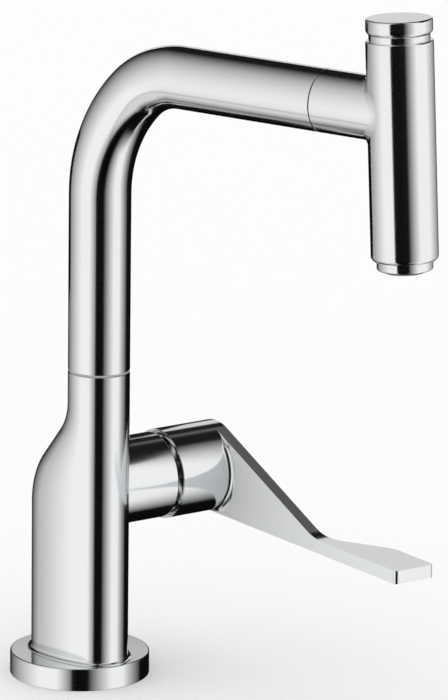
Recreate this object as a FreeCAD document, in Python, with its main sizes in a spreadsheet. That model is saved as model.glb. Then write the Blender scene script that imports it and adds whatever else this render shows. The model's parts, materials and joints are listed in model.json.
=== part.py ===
"""Pull-out kitchen mixer tap, as a parametric document.

Frame of the tap: the origin is the middle of the foot on the worktop, +Z is up, -Y is the front that
the lever points to at rest, and +X is the lever's side. Sizes are in millimetres and degrees.
"""
import FreeCAD
import Part
import Sketcher
import math
import os
import re

V = FreeCAD.Vector

# Driving sizes. Each one becomes a cell of the sheet, and every piece is bound to those cells.
SIZES = {
    # foot on the worktop
    "flange_radius": 33.5,
    "flange_height": 11,
    "flange_edge": 0.8,
    "flange_bore": 14.6,
    "foot_seal_radius": 29.5,
    "foot_seal_width": 2.4,
    "foot_seal_height": 2.2,
    "foot_screw_side": 7.5,
    "foot_screw_back": 18.4,
    "foot_screw_radius": 1.5,
    "foot_screw_head": 3,
    "foot_screw_cone": 1.5,
    "foot_screw_length": 20,
    "foot_screw_sink": 0.3,
    "foot_screw_key": 1.1,
    # fixing under the worktop
    "shank_radius": 16.4,
    "shank_bore": 14.8,
    "shank_depth": 62,
    "shank_grip": 7,
    "worktop_thickness": 40,
    "washer_radius": 27,
    "washer_play": 0.6,
    "rubber_thickness": 3,
    "steel_thickness": 2,
    "nut_radius": 28,
    "nut_height": 12,
    "nut_screw_reach": 20.7,
    "nut_screw_radius": 3,
    "nut_screw_length": 15,
    "nut_screw_key": 1.7,
    # body: an egg-shaped section below, whose rear round leans forward into the round neck
    "tube_radius": 14.75,
    "neck_offset": 15,
    "rear_radius": 20,
    "rear_offset": 6,
    "body_wall": 2.6,
    "foot_lip": 0.3,
    "foot_flare": 1.8,
    "foot_rim": 0.1,
    "shoulder_height": 84,
    "shoulder_radius": 34,
    "nape_radius": 21.5,
    "lean_angle": 43.8,
    "neck_length": 15.2,
    "neck_bore": 12.6,
    "cavity_drop": 19.6,
    "neck_edge": 0.5,
    # side boss for the cartridge
    "hub_height": 91.75,
    "boss_radius": 20.8,
    "boss_bore": 18.3,
    "boss_end": 42.7,
    "hub_gap_edge": 0.4,
    "seat_face": 7,
    # waterways
    "block_front": 6,
    "block_top": 85,
    "seat_radius": 13,
    "seat_depth": 16.5,
    "socket_radius": 3.5,
    "socket_depth": 10,
    "socket_side": 5.6,
    "socket_back": 2,
    "outlet_back": 9.6,
    "port_radius": 2.4,
    "port_side": 4.2,
    "cold_drop": 5.75,
    "hot_rise": 6.25,
    "outlet_drop": 1.75,
    # pull-out hose
    "hose_radius": 6.2,
    "hose_bore": 4,
    "hose_play": 0.6,
    "hose_foot_offset": 8,
    "hose_bend_top": 57,
    "hose_bend_foot": 12,
    "hose_end_depth": 74,
    "hose_end_cover": 8,
    "hose_end_radius": 7.5,
    "hose_end_length": 14,
    # cartridge, measured out along the hub's axis
    "cartridge_radius": 17.4,
    "base_floor": 3,
    "port_seal_radius": 12.4,
    "port_seal_height": 1.15,
    "disc_radius": 12.6,
    "disc_thickness": 3,
    "slide_disc_radius": 10.2,
    "chamber_radius": 13,
    "chamber_end": 31,
    "housing_shoulder": 33,
    "collar_radius": 13.5,
    "collar_end": 37,
    "collar_throat": 7.6,
    "collar_mouth": 9.8,
    "pivot_reach": 24.5,
    "stem_tip_reach": 6.3,
    "stem_tip_radius": 3,
    "stem_radius": 4.2,
    "stem_end": 66,
    "carrier_radius": 12.5,
    "carrier_slot": 7.2,
    "pin_radius": 1.5,
    "pin_half": 11,
    "cartridge_nut_radius": 18.1,
    "cartridge_nut_end": 40.5,
    "dome_radius": 27,
    "dome_bore": 15,
    "dome_lip": 19.6,
    # lever
    "lever_hub_radius": 21.8,
    "lever_hub_start": 45.5,
    "lever_cup_radius": 19.8,
    "lever_cup_floor": 56,
    "lever_inner": 73,
    "lever_thickness": 6,
    "lever_slope": 23.5,
    "lever_sweep_radius": 35,
    "lever_length": 154.5,
    "paddle_thickness": 6.4,
    "paddle_width": 22.2,
    "paddle_turn": 28.5,
    "paddle_start": 84,
    "paddle_inner_radius": 38,
    "paddle_outer_radius": 17.8,
    "paddle_corner": 2,
    "stem_socket_end": 68,
    "grub_reach": 61,
    "grub_radius": 2.45,
    "grub_length": 9,
    "plug_radius": 4,
    "plug_length": 4,
    "plug_sink": 0.4,
    # swivel
    "rest_swivel": 18.8,
    "swivel_half": 55,
    "seam_height": 1,
    "seam_step": 0.55,
    "spigot_radius": 11,
    "spigot_bore": 8.2,
    "spigot_lift": 4,
    "sleeve_top": 178,
    "slip_height": 7,
    "slip_lift": 6,
    "slip_drop": 8.3,
    "stop_drop": 12.3,
    "stop_tip_radius": 2,
    "stop_tip_depth": 1.1,
    "stop_slot_depth": 1.4,
    "stop_screw_radius": 2.4,
    "stop_key": 1.4,
    "stop_slot_margin": 12.8,
    # spout
    "tube_wall": 1.5,
    "arm_gap": 41.5,
    "arm_height": 300.5,
    "riser_bend": 72,
    "arm_bend": 37,
    "bend_split": 45,
    "collar_length": 24.5,
    "collar_bore": 11.3,
    "hose_join": 50,
    # spray head
    "reach": 170,
    "head_lean": 3,
    "head_radius": 15.5,
    "head_bore": 13.9,
    "head_top": 33.3,
    "head_foot": 68,
    "head_top_edge": 0.8,
    "head_foot_edge": 2.3,
    "head_mouth": 14.3,
    "head_mouth_depth": 9.3,
    "dock_seam": 0.6,
    "dock_fillet": 1.5,
    "dock_bore": 13.1,
    "dock_wall": 17,
    "nipple_radius": 8.8,
    "nipple_reach": 4,
    "nipple_seat": 12.95,
    "hose_end_lead": 26.5,
    "ferrule_radius": 7.4,
    "ferrule_length": 12,
    "hose_nut_radius": 9.2,
    "hose_nut_length": 10,
    "hose_nut_wall": 2,
    "spigot_outer": 10.9,
    "spigot_water": 4,
    "spigot_flange_gap": 2.5,
    "spigot_flange": 3,
    "ring_lead": 11.7,
    "ring_width": 2.4,
    "ring_depth": 1,
    "valve_radius": 5,
    "valve_lead": 8.5,
    "valve_length": 11,
    "valve_water": 1.6,
    "core_radius": 13.7,
    "core_foot": 60,
    "core_top": 12,
    "core_waist": 12.2,
    "core_land": 10,
    "core_head": 24,
    "core_bore": 5.5,
    "selector_radius": 9,
    "selector_flange": 13.6,
    "selector_flange_height": 2,
    "selector_top": 26,
    "selector_nut_height": 6,
    # aerator
    "aerator_thread_radius": 12.9,
    "aerator_top": 62,
    "aerator_foot": 72.3,
    "aerator_bore": 11,
    "aerator_lip": 1.5,
    "aerator_edge": 1,
    "insert_top": 64.5,
    "nozzle_radius": 9.2,
    "nozzle_foot": 73.5,
    "jet_radius": 0.7,
    "jet_inner_ring": 3.4,
    "jet_outer_ring": 6.8,
    "screen_radius": 9.5,
    "screen_thickness": 0.8,
    "screen_hole": 0.9,
    "aerator_seal_bore": 7.5,
    # push button
    "button_radius": 15.3,
    "button_foot": 36.1,
    "button_top": 43.3,
    "button_chamfer": 1.3,
    "button_edge": 0.6,
    "skirt_radius": 14,
    "skirt_wall": 1.4,
    "skirt_foot": 29,
    "button_stem_radius": 2.8,
    "button_stem_foot": 22,
    "button_travel": 2.2,
    "spring_radius": 5.5,
    "spring_wire": 0.5,
    "spring_turns": 5,
    # clearances
    "thread_gap": 0.1,
    "fit_gap": 0.05,
    "flush_gap": 0.05,
    "free_gap": 0.3,
}

# Places that follow from the driving sizes, spelled in the same words
PLACES = {
    "seal_inner": "foot_seal_radius - foot_seal_width / 2",
    "seal_outer": "foot_seal_radius + foot_seal_width / 2",
    "rubber_foot": "-worktop_thickness - rubber_thickness",
    "steel_foot": "rubber_foot - steel_thickness",
    "nut_foot": "steel_foot - nut_height",
    "lean_start_offset": "neck_offset - shoulder_radius * (1 - cos(lean_angle))",
    "lean_start_height": "shoulder_height + shoulder_radius * sin(lean_angle)",
    "lean_end_offset": "nape_radius * (1 - cos(lean_angle)) - neck_offset",
    "lean_end_height": "lean_start_height + (lean_start_offset - lean_end_offset) / tan(lean_angle)",
    "nape_height": "lean_end_height + nape_radius * sin(lean_angle)",
    "neck_top": "nape_height + neck_length",
    "cavity_top": "nape_height - cavity_drop",
    "cavity_offset": "lean_start_offset - (cavity_top - lean_start_height) * tan(lean_angle)",
    "cavity_share": "(cavity_offset + neck_offset) / (2 * neck_offset)",
    "rear_lead": "rear_offset + neck_offset",
    "rear_gain": "rear_radius - tube_radius",
    "flank_shift": "(rear_lead * rear_lead - rear_gain * rear_gain) / (2 * rear_gain)",
    "flank_radius": "flank_shift + rear_radius",
    "front_across": "flank_shift / (flank_shift + rear_gain)",
    "front_back": "rear_lead / (flank_shift + rear_gain)",
    "cold_height": "hub_height - cold_drop",
    "hot_height": "hub_height + hot_rise",
    "outlet_height": "hub_height - outlet_drop",
    "base_start": "seat_face + 4 * flush_gap",
    "base_end": "seat_face + port_seal_height + flush_gap + base_floor",
    "fixed_disc_end": "base_end + disc_thickness",
    "slide_disc_start": "fixed_disc_end + 4 * flush_gap",
    "slide_disc_end": "slide_disc_start + disc_thickness",
    "carrier_start": "slide_disc_end + 4 * flush_gap",
    "carrier_end": "chamber_end - 4 * flush_gap",
    "tip_reach": "pivot_reach - stem_tip_reach",
    "hose_shift": "(neck_offset - hose_foot_offset) / 2",
    "hose_climb": "(hose_bend_top - hose_bend_foot) / 2",
    "hose_curve": "(hose_shift * hose_shift + hose_climb * hose_climb) / (2 * hose_shift)",
    "hose_split": "neck_top + seam_height / 2",
    "tube_foot": "neck_top + seam_height",
    "spigot_foot": "cavity_top + spigot_lift",
    "lower_slip_foot": "cavity_top + slip_lift",
    "upper_slip_foot": "neck_top - slip_drop",
    "stop_height": "neck_top - stop_drop",
    "tube_bore": "tube_radius - tube_wall",
    "slip_radius": "neck_bore - fit_gap",
    "sleeve_radius": "tube_bore - fit_gap",
    "bend_foot": "arm_height - arm_bend - (riser_bend - arm_bend) * sin(bend_split)",
    "bend_middle_reach": "riser_bend * (1 - cos(bend_split))",
    "bend_middle_height": "bend_foot + riser_bend * sin(bend_split)",
    "bend_end": "bend_middle_reach + arm_bend * cos(bend_split)",
    "arm_end": "reach - arm_gap",
    "dock_start": "arm_end + dock_seam",
    "dock_bore_end": "reach - dock_wall",
    "nipple_end": "dock_bore_end + nipple_reach",
    "collar_start": "arm_end - collar_length",
    "hose_end": "arm_end - hose_end_lead",
    "spigot_flange_start": "arm_end + spigot_flange_gap",
    "ring_start": "arm_end - ring_lead",
    "valve_start": "arm_end - valve_lead",
    "head_inlet": "reach - dock_bore_end",
    "paddle_out": "lever_inner + paddle_width",
    "lever_outer": "lever_inner + lever_thickness",
    "paddle_top": "paddle_thickness - lever_hub_radius",
    "slope_back": "-lever_hub_radius * sin(lever_slope)",
    "slope_top": "lever_hub_radius * cos(lever_slope)",
    "slope_corner": "slope_back - (slope_top - paddle_top) / tan(lever_slope)",
    "sweep_tangent": "lever_sweep_radius * tan(lever_slope / 2)",
    "paddle_rise": "1 - cos(paddle_turn)",
    "paddle_first_out": "lever_outer + paddle_inner_radius * paddle_rise",
    "paddle_first_back": "paddle_start + paddle_inner_radius * sin(paddle_turn)",
    "paddle_last_out": "paddle_out - paddle_outer_radius * paddle_rise",
    "paddle_last_back": "paddle_first_back + (paddle_last_out - paddle_first_out) / tan(paddle_turn)",
    "paddle_end_back": "paddle_last_back + paddle_outer_radius * sin(paddle_turn)",
    "plug_floor": "plug_sink + plug_length",
    "nut_end": "hose_end + hose_nut_length",
    "tail_start": "hose_end + hose_nut_wall + flush_gap",
    "sleeve_length": "reach - dock_start",
    "stem_floor": "button_stem_foot - button_travel - 2 * free_gap",
}

# Sections of the body's lean over the shoulder, and as many in the nape
LEAN_SECTIONS = 4

# Where each group of pieces stands: the hub's local Z runs out along +X, the arm's out along the arm
TAP = "placement(vector(0; 0; 0); vector(0; 0; 1); 0)"
HUB = "placement(vector(0; 0; hub_height); vector(0; 1; 0); 90)"
LEVER = "placement(vector(0; 0; hub_height); vector(0; 0; 1); 0)"
NECK = "placement(vector(0; -neck_offset; 0); vector(0; 0; 1); 0)"
SPOUT = "placement(vector(0; -neck_offset; 0); vector(0; 0; 1); rest_swivel)"
ARM = SPOUT + " * placement(vector(0; 0; arm_height); vector(1; 0; 0); 90)"
HEAD = SPOUT + " * placement(vector(0; -reach; arm_height); vector(1; 0; 0); -head_lean)"

# Ways that a primitive's axis can point, as an axis and an angle
UP = ("0; 0; 1", "0")
RIGHT = ("0; 1; 0", "90")
BACK = ("1; 0; 0", "-90")
TO_RISER = ("1; 0; 0", "head_lean - 90")

doc = FreeCAD.newDocument("pull_out_mixer_tap")
sheet = doc.addObject("Spreadsheet::Sheet", "Sizes")
for row, (alias, size) in enumerate(SIZES.items(), start=1):
    sheet.set("A%d" % row, alias)
    sheet.set("B%d" % row, str(size))
    sheet.setAlias("B%d" % row, alias)
doc.recompute()
nodes = []


def spell(text):
    """Write an expression out in cells of the sheet."""
    def swap(match):
        word = match.group(0)
        if word in PLACES:
            return "(" + spell(PLACES[word]) + ")"
        return "Sizes." + word if word in SIZES else word
    return re.sub(r"[a-z][a-z_]*", swap, text)


def number(text):
    return float(sheet.evalExpression(spell(text)))


def bind(item, path, text):
    item.setExpression(path, spell(text))


def origin_plane(body, role):
    return [item for item in body.Origin.OriginFeatures if item.Role == role][0]


def new_body(label, place):
    body = doc.addObject("PartDesign::Body", label)
    body.Label = label
    bind(body, "Placement", place)
    nodes.append(body)
    return body


def new_sketch(body, role, height="0", turn=UP):
    """A sketch on one of the body's own planes, moved out along the plane's normal."""
    sketch = body.newObject("Sketcher::SketchObject", "outline")
    sketch.AttachmentSupport = (origin_plane(body, role), [""])
    sketch.MapMode = "FlatFace"
    bind(sketch, "AttachmentOffset", "placement(vector(0; 0; %s); vector(%s); %s)" % (height, *turn))
    return sketch


def pin_point(sketch, geometry, end, across, up):
    """Hold one point of a sketch at two expressions from the sketch's origin."""
    for kind, text in (("DistanceX", across), ("DistanceY", up)):
        pin_coordinate(sketch, kind, geometry, end, text)


def pin_coordinate(sketch, kind, geometry, end, text):
    rule = Sketcher.Constraint(kind, -1, 1, geometry, end, number(text))
    bind(sketch, "Constraints[%d]" % sketch.addConstraint(rule), text)


def draw(sketch, points, closed=True):
    """Draw an outline. A point is (across, up); an arc that reaches it adds its centre and its way round."""
    spots = [V(number(point[0]), number(point[1]), 0) for point in points]
    first = 0 if closed else 1
    pieces = []
    for index in range(first, len(points)):
        start = spots[index - 1]
        end = spots[index]
        if len(points[index]) == 2:
            pieces.append((sketch.addGeometry(Part.LineSegment(start, end)), 1, 2))
            continue
        centre = V(number(points[index][2]), number(points[index][3]), 0)
        leftward = points[index][4] == "left"
        low, high = (start, end) if leftward else (end, start)
        low_angle = math.atan2(low.y - centre.y, low.x - centre.x)
        high_angle = math.atan2(high.y - centre.y, high.x - centre.x)
        if high_angle <= low_angle:
            high_angle += 2 * math.pi
        circle = Part.Circle(centre, V(0, 0, 1), (low - centre).Length)
        arc = sketch.addGeometry(Part.ArcOfCircle(circle, low_angle, high_angle))
        pieces.append((arc, 1, 2) if leftward else (arc, 2, 1))
    for index, piece in enumerate(pieces):
        following = pieces[(index + 1) % len(pieces)]
        if closed or index + 1 < len(pieces):
            meeting = Sketcher.Constraint("Coincident", piece[0], piece[2], following[0], following[1])
            sketch.addConstraint(meeting)
    if not closed:
        pin_point(sketch, pieces[0][0], pieces[0][1], *points[0])
    for index, piece in enumerate(pieces, start=first):
        point = points[index]
        pin_point(sketch, piece[0], piece[2], point[0], point[1])
        if len(point) > 2:
            chord = spots[index] - spots[index - 1]
            if abs(chord.y) > abs(chord.x):
                pin_coordinate(sketch, "DistanceX", piece[0], 3, point[2])
            else:
                pin_coordinate(sketch, "DistanceY", piece[0], 3, point[3])


def draw_circle(sketch, radius, across="0", up="0"):
    circle = sketch.addGeometry(Part.Circle(V(number(across), number(up), 0), V(0, 0, 1), number(radius)))
    pin_point(sketch, circle, 3, across, up)
    rule = sketch.addConstraint(Sketcher.Constraint("Radius", circle, number(radius)))
    bind(sketch, "Constraints[%d]" % rule, radius)


def revolve(body, outline, kind="Revolution", role="XZ_Plane", angle="360"):
    sketch = new_sketch(body, role)
    draw(sketch, outline)
    turn = body.newObject("PartDesign::" + kind, "turn")
    turn.Profile = sketch
    turn.ReferenceAxis = (sketch, ["V_Axis"])
    turn.Midplane = angle != "360"
    bind(turn, "Angle", angle)
    body.Tip = turn


def turned(label, place, outline):
    """A piece turned about its frame's Z axis, from an outline of (radius, height) points."""
    body = new_body(label, place)
    revolve(body, outline)
    return body


def ring(inner, outer, foot, top):
    """Outline of a plain ring, or of a disc where the inner radius is nought."""
    return [(inner, foot), (outer, foot), (outer, top), (inner, top)]


def extrude(body, sketch, kind, length, midplane=False, reverse=False):
    item = body.newObject("PartDesign::" + kind, kind.lower())
    item.Profile = sketch
    item.Midplane = midplane
    item.Reversed = reverse
    bind(item, "Length", length)
    body.Tip = item


def sweep(body, kind, profile, path, mode="Standard"):
    item = body.newObject("PartDesign::" + kind, "sweep")
    item.Profile = profile
    item.Spine = path
    item.Mode = mode
    body.Tip = item


def primitive(body, kind, at, turn=UP, **sizes):
    """Add or cut a cylinder, cone, box or prism that stands at a point of the body."""
    item = body.newObject("PartDesign::" + kind, kind.lower())
    item.AttachmentSupport = (origin_plane(body, "XY_Plane"), [""])
    item.MapMode = "FlatFace"
    spot = "vector(%s; %s; %s)" % at
    bind(item, "AttachmentOffset", "placement(%s; vector(%s); %s)" % (spot, *turn))
    for name, text in sizes.items():
        bind(item, name, text)
    body.Tip = item
    return item


def drill(body, radius, at, depth, turn=UP):
    return primitive(body, "SubtractiveCylinder", at, turn, Radius=radius, Height=depth)


def hex_socket(body, radius, at, depth, turn=UP):
    """Cut the six-sided key hole of a screw."""
    item = primitive(body, "SubtractivePrism", at, turn, Circumradius=radius, Height=depth)
    item.Polygon = 6


def soften(body, kind, size, test):
    """Round or bevel the edges of the body so far that pass the test."""
    doc.recompute()
    base = body.Tip
    names = ["Edge%d" % count for count, edge in enumerate(base.Shape.Edges, start=1) if test(edge)]
    item = body.newObject("PartDesign::" + kind, kind.lower())
    item.Base = (base, names)
    bind(item, "Radius" if kind == "Fillet" else "Size", size)
    body.Tip = item


def near(first, second):
    return abs(first - second) < 1e-4


def curve_of(edge):
    """The edge's curve, or nothing where a swept face gives it a kind of curve that has no name."""
    try:
        return edge.Curve
    except TypeError:
        return None


def rim(radius, height, along=V(0, 0, 1)):
    """Test for the round edge with this radius, at this height along an axis of the body."""
    def test(edge):
        curve = curve_of(edge)
        if not isinstance(curve, Part.Circle) or not near(abs(curve.Axis.dot(along)), 1):
            return False
        return near(curve.Radius, number(radius)) and near(curve.Center.dot(along), number(height))
    return test


def around(body, hole, ring_radius, count):
    """Repeat a hole round the body's Z axis."""
    pattern = body.newObject("PartDesign::PolarPattern", "around")
    pattern.Originals = [hole]
    pattern.Axis = ([item for item in body.Origin.OriginFeatures if item.Role == "Z_Axis"][0], [""])
    pattern.Angle = 360
    pattern.Occurrences = count
    body.Tip = pattern


# Foot

def base_flange():
    counterbore = "shank_radius + thread_gap"
    body = turned("base_flange", TAP, [
        ("flange_bore", "shank_grip"),
        (counterbore, "shank_grip"),
        (counterbore, "0"),
        ("seal_inner - fit_gap", "0"),
        ("seal_inner - fit_gap", "foot_seal_height"),
        ("seal_outer + fit_gap", "foot_seal_height"),
        ("seal_outer + fit_gap", "0"),
        ("flange_radius", "0"),
        ("flange_radius", "flange_height"),
        ("flange_bore", "flange_height"),
    ])
    for side in ("foot_screw_side", "-foot_screw_side"):
        shaft = "foot_screw_radius + thread_gap"
        head = "foot_screw_head + thread_gap"
        drill(body, shaft, (side, "foot_screw_back", "0"), "flange_height")
        drill(body, head, (side, "foot_screw_back", "0"), "foot_screw_sink")
        primitive(body, "SubtractiveCone", (side, "foot_screw_back", "foot_screw_sink"),
                  Radius1=head, Radius2=shaft, Height="foot_screw_cone")
    soften(body, "Fillet", "flange_edge", rim("flange_radius", "flange_height"))


def foot_fixings():
    turned("base_seal", TAP, ring("seal_inner", "seal_outer", "0", "foot_seal_height"))
    turned("threaded_shank", TAP, ring("shank_bore", "shank_radius", "-shank_depth", "shank_grip"))
    washer_bore = "shank_radius + washer_play"
    turned("rubber_washer", TAP, ring(washer_bore, "washer_radius", "rubber_foot", "-worktop_thickness"))
    turned("steel_washer", TAP, ring(washer_bore, "washer_radius", "steel_foot", "rubber_foot"))
    nut = new_body("fixing_nut", TAP)
    block = primitive(nut, "AdditivePrism", ("0", "0", "nut_foot"),
                      Circumradius="nut_radius", Height="nut_height")
    block.Polygon = 6
    drill(nut, "shank_radius + thread_gap", ("0", "0", "nut_foot"), "nut_height")
    for side, sign in (("right", ""), ("left", "-")):
        reach = sign + "nut_screw_reach"
        drill(nut, "nut_screw_radius + thread_gap", (reach, "0", "nut_foot"), "nut_height")
        foot = "steel_foot - nut_screw_length"
        place = "placement(vector(%s; 0; %s); vector(0; 0; 1); 0)" % (reach, foot)
        screw = turned("nut_screw_" + side, place, ring("0", "nut_screw_radius", "0", "nut_screw_length"))
        hex_socket(screw, "nut_screw_key", ("0", "0", "0"), "nut_screw_radius")
        spot = "vector(%sfoot_screw_side; foot_screw_back; foot_screw_sink)" % sign
        screw = turned("base_screw_" + side, "placement(%s; vector(0; 0; 1); 0)" % spot, [
            ("0", "0"),
            ("foot_screw_head", "0"),
            ("foot_screw_radius", "foot_screw_cone"),
            ("foot_screw_radius", "foot_screw_length"),
            ("0", "foot_screw_length"),
        ])
        hex_socket(screw, "foot_screw_key", ("0", "0", "0"), "foot_screw_cone")


# Body

def draw_egg(sketch, grow="0", share="1", front=None):
    """The body's section: a rear round, two long flanks and a front round, or a flat front.

    The share is 1 for the whole egg at the foot and 0 for the round neck. All arcs meet smoothly.
    """
    back = "rear_lead * (%s) - neck_offset" % share
    rear = "tube_radius + rear_gain * (%s) + (%s)" % (share, grow)
    flank = "flank_shift * (%s)" % share
    if front:
        across = "sqrt(pow(flank_radius + (%s); 2) - pow(rear_offset - (%s); 2)) - flank_shift" % (grow, front)
        last = (across, front)
    else:
        across = "(tube_radius + (%s)) * front_across" % grow
        front = "-neck_offset - (tube_radius + (%s)) * front_back" % grow
        last = (across, front, "0", "-neck_offset", "left")
    draw(sketch, [
        (rear, back, "-(%s)" % flank, back, "left"),
        ("-(%s)" % rear, back, "0", back, "left"),
        ("-(%s)" % across, front, flank, back, "left"),
        last,
    ])


def upright_egg(body, grow, kind):
    """Add or cut the body's straight part, from the foot to the shoulder."""
    section = new_sketch(body, "XY_Plane", "flange_height")
    draw_egg(section, grow)
    extrude(body, section, kind, "shoulder_height - flange_height", reverse=kind == "Pocket")


def leaning_egg(body, grow, kind, top=None):
    """Add or cut the leaning part, through sections that shrink over the shoulder and in the nape."""
    stations = []
    for step in range(LEAN_SECTIONS + 1):
        turn = "lean_angle * %d / %d" % (step, LEAN_SECTIONS)
        stations.append(("shoulder_height + shoulder_radius * sin(%s)" % turn,
                         "1 - shoulder_radius * (1 - cos(%s)) / (2 * neck_offset)" % turn))
    if top:
        stations.append(top)
    else:
        for step in range(LEAN_SECTIONS, -1, -1):
            turn = "lean_angle * %d / %d" % (step, LEAN_SECTIONS)
            stations.append(("nape_height - nape_radius * sin(%s)" % turn,
                             "nape_radius * (1 - cos(%s)) / (2 * neck_offset)" % turn))
    sections = []
    for height, share in stations:
        section = new_sketch(body, "XY_Plane", height)
        draw_egg(section, grow, share)
        sections.append(section)
    loft = body.newObject("PartDesign::" + kind, "lean")
    loft.Profile = sections[0]
    loft.Sections = sections[1:]
    body.Tip = loft


def on_foot(edge):
    """Test for the line where the body's wall meets the foot's lip."""
    curve = curve_of(edge)
    if not isinstance(curve, Part.Circle) or not near(abs(curve.Axis.z), 1):
        return False
    if not near(curve.Center.z, number("flange_height + foot_lip")):
        return False
    return any(near(curve.Radius, number(name)) for name in ("tube_radius", "rear_radius", "flank_radius"))


def mixer_body():
    body = new_body("mixer_body", TAP)
    lip = new_sketch(body, "XY_Plane", "flange_height")
    draw_egg(lip, "foot_flare + foot_rim")
    extrude(body, lip, "Pad", "foot_lip")
    upright_egg(body, "0", "Pad")
    soften(body, "Fillet", "foot_flare", on_foot)
    leaning_egg(body, "0", "AdditiveLoft")
    primitive(body, "AdditiveCylinder", ("0", "-neck_offset", "nape_height"),
              Radius="tube_radius", Height="neck_length")
    primitive(body, "AdditiveCylinder", ("0", "0", "hub_height"), RIGHT,
              Radius="boss_radius", Height="boss_end")
    soften(body, "Fillet", "hub_gap_edge", rim("boss_radius", "boss_end", V(1, 0, 0)))
    upright_egg(body, "-body_wall", "Pocket")
    leaning_egg(body, "-body_wall", "SubtractiveLoft", ("cavity_top", "cavity_share"))
    bore_foot = "cavity_top - body_wall"
    drill(body, "neck_bore", ("0", "-neck_offset", bore_foot), "neck_top - (%s)" % bore_foot)
    drill(body, "boss_bore", ("seat_face", "0", "hub_height"), "boss_end - seat_face", RIGHT)
    drill(body, "stop_screw_radius + fit_gap", ("0", "spigot_radius - neck_offset", "stop_height"),
          "tube_radius", BACK)
    soften(body, "Chamfer", "neck_edge", rim("tube_radius", "neck_top"))


def hose_route(foot, top):
    """The hose's path inside the body, as (Y, Z): up, a gentle step towards the riser's axis, and up."""
    return [
        ("-hose_foot_offset", foot),
        ("-hose_foot_offset", "hose_bend_foot"),
        ("hose_shift - neck_offset", "hose_bend_foot + hose_climb",
         "-hose_foot_offset - hose_curve", "hose_bend_foot", "left"),
        ("-neck_offset", "hose_bend_top", "hose_curve - neck_offset", "hose_bend_top", "right"),
        ("-neck_offset", top),
    ]


def waterway_block():
    body = new_body("waterway_block", TAP)
    section = new_sketch(body, "XY_Plane", "flange_height")
    draw_egg(section, "-body_wall - free_gap", front="-block_front")
    extrude(body, section, "Pad", "block_top - flange_height")
    primitive(body, "AdditiveCylinder", ("seat_face - seat_depth", "0", "hub_height"), RIGHT,
              Radius="seat_radius", Height="seat_depth")
    drill(body, "boss_bore", ("seat_face", "0", "hub_height"), "rear_radius", RIGHT)
    duct = new_sketch(body, "XY_Plane", "shank_grip")
    draw_circle(duct, "hose_radius + hose_play", "0", "-hose_foot_offset")
    path = new_sketch(body, "YZ_Plane")
    draw(path, hose_route("shank_grip", "hub_height + seat_radius + hose_radius"), closed=False)
    sweep(body, "SubtractivePipe", duct, path)
    ports = (
        ("socket_side", "socket_back", "port_side", "cold_height"),
        ("-socket_side", "socket_back", "-port_side", "hot_height"),
        ("0", "outlet_back", "0", "outlet_height"),
    )
    for socket_across, back, across, height in ports:
        drill(body, "socket_radius", (socket_across, back, "flange_height"), "socket_depth")
        drill(body, "port_radius", (across, back, "flange_height"), "%s - flange_height" % height)
        drill(body, "port_radius", (across, back, height), "seat_face - (%s)" % across, RIGHT)
    for side in ("foot_screw_side", "-foot_screw_side"):
        drill(body, "foot_screw_radius + fit_gap", (side, "foot_screw_back", "flange_height"),
              "foot_screw_sink + foot_screw_length - flange_height + free_gap")


def lower_hose():
    body = new_body("hose_lower", TAP)
    section = new_sketch(body, "XY_Plane", "-hose_end_depth")
    draw_circle(section, "hose_radius", "0", "-hose_foot_offset")
    draw_circle(section, "hose_bore", "0", "-hose_foot_offset")
    path = new_sketch(body, "YZ_Plane")
    draw(path, hose_route("-hose_end_depth", "hose_split"), closed=False)
    sweep(body, "AdditivePipe", section, path)
    place = "placement(vector(0; -hose_foot_offset; -hose_end_depth); vector(0; 0; 1); 0)"
    turned("hose_end_fitting", place, [
        ("hose_radius + fit_gap", "hose_end_cover"),
        ("hose_radius + fit_gap", "0"),
        ("hose_bore", "0"),
        ("hose_bore", "hose_end_cover - hose_end_length"),
        ("hose_end_radius", "hose_end_cover - hose_end_length"),
        ("hose_end_radius", "hose_end_cover"),
    ])


# Cartridge, in the hub's frame

def drill_ports(body, foot, depth):
    drill(body, "port_radius", ("cold_drop", "socket_back", foot), depth)
    drill(body, "port_radius", ("-hot_rise", "socket_back", foot), depth)
    drill(body, "port_radius", ("outlet_drop", "outlet_back", foot), depth)


def cartridge():
    seal_end = "base_end - base_floor"
    seal = turned("cartridge_seals", HUB, ring("0", "port_seal_radius", "seat_face + flush_gap", seal_end))
    drill_ports(seal, "seat_face", "base_end - seat_face")
    base = turned("cartridge_base", HUB, [
        ("0", seal_end),
        ("port_seal_radius + thread_gap", seal_end),
        ("port_seal_radius + thread_gap", "base_start"),
        ("cartridge_radius", "base_start"),
        ("cartridge_radius", "base_end"),
        ("0", "base_end"),
    ])
    drill_ports(base, "seat_face", "base_end - seat_face")
    disc = turned("fixed_disc", HUB, ring("0", "disc_radius", "base_end", "fixed_disc_end"))
    drill_ports(disc, "base_end", "disc_thickness")
    turned("cartridge_housing", HUB, [
        ("chamber_radius", "base_end"),
        ("cartridge_radius", "base_end"),
        ("cartridge_radius", "housing_shoulder"),
        ("collar_radius", "housing_shoulder"),
        ("collar_radius", "collar_end"),
        ("collar_mouth", "collar_end"),
        ("collar_throat", "chamber_end"),
        ("chamber_radius", "chamber_end"),
    ])
    turned("cartridge_nut", HUB, ring("collar_radius + free_gap", "cartridge_nut_radius",
                                      "housing_shoulder", "cartridge_nut_end"))
    lip_height = "pivot_reach + sqrt(dome_radius * dome_radius - dome_lip * dome_lip)"
    bore_height = "pivot_reach + sqrt(dome_radius * dome_radius - dome_bore * dome_bore)"
    turned("cartridge_dome", HUB, [
        ("dome_bore", "cartridge_nut_end"),
        ("cartridge_nut_radius", "cartridge_nut_end"),
        ("cartridge_nut_radius", "boss_end"),
        ("dome_lip", "boss_end"),
        ("dome_lip", lip_height),
        ("dome_bore", bore_height, "0", "pivot_reach", "left"),
    ])


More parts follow.
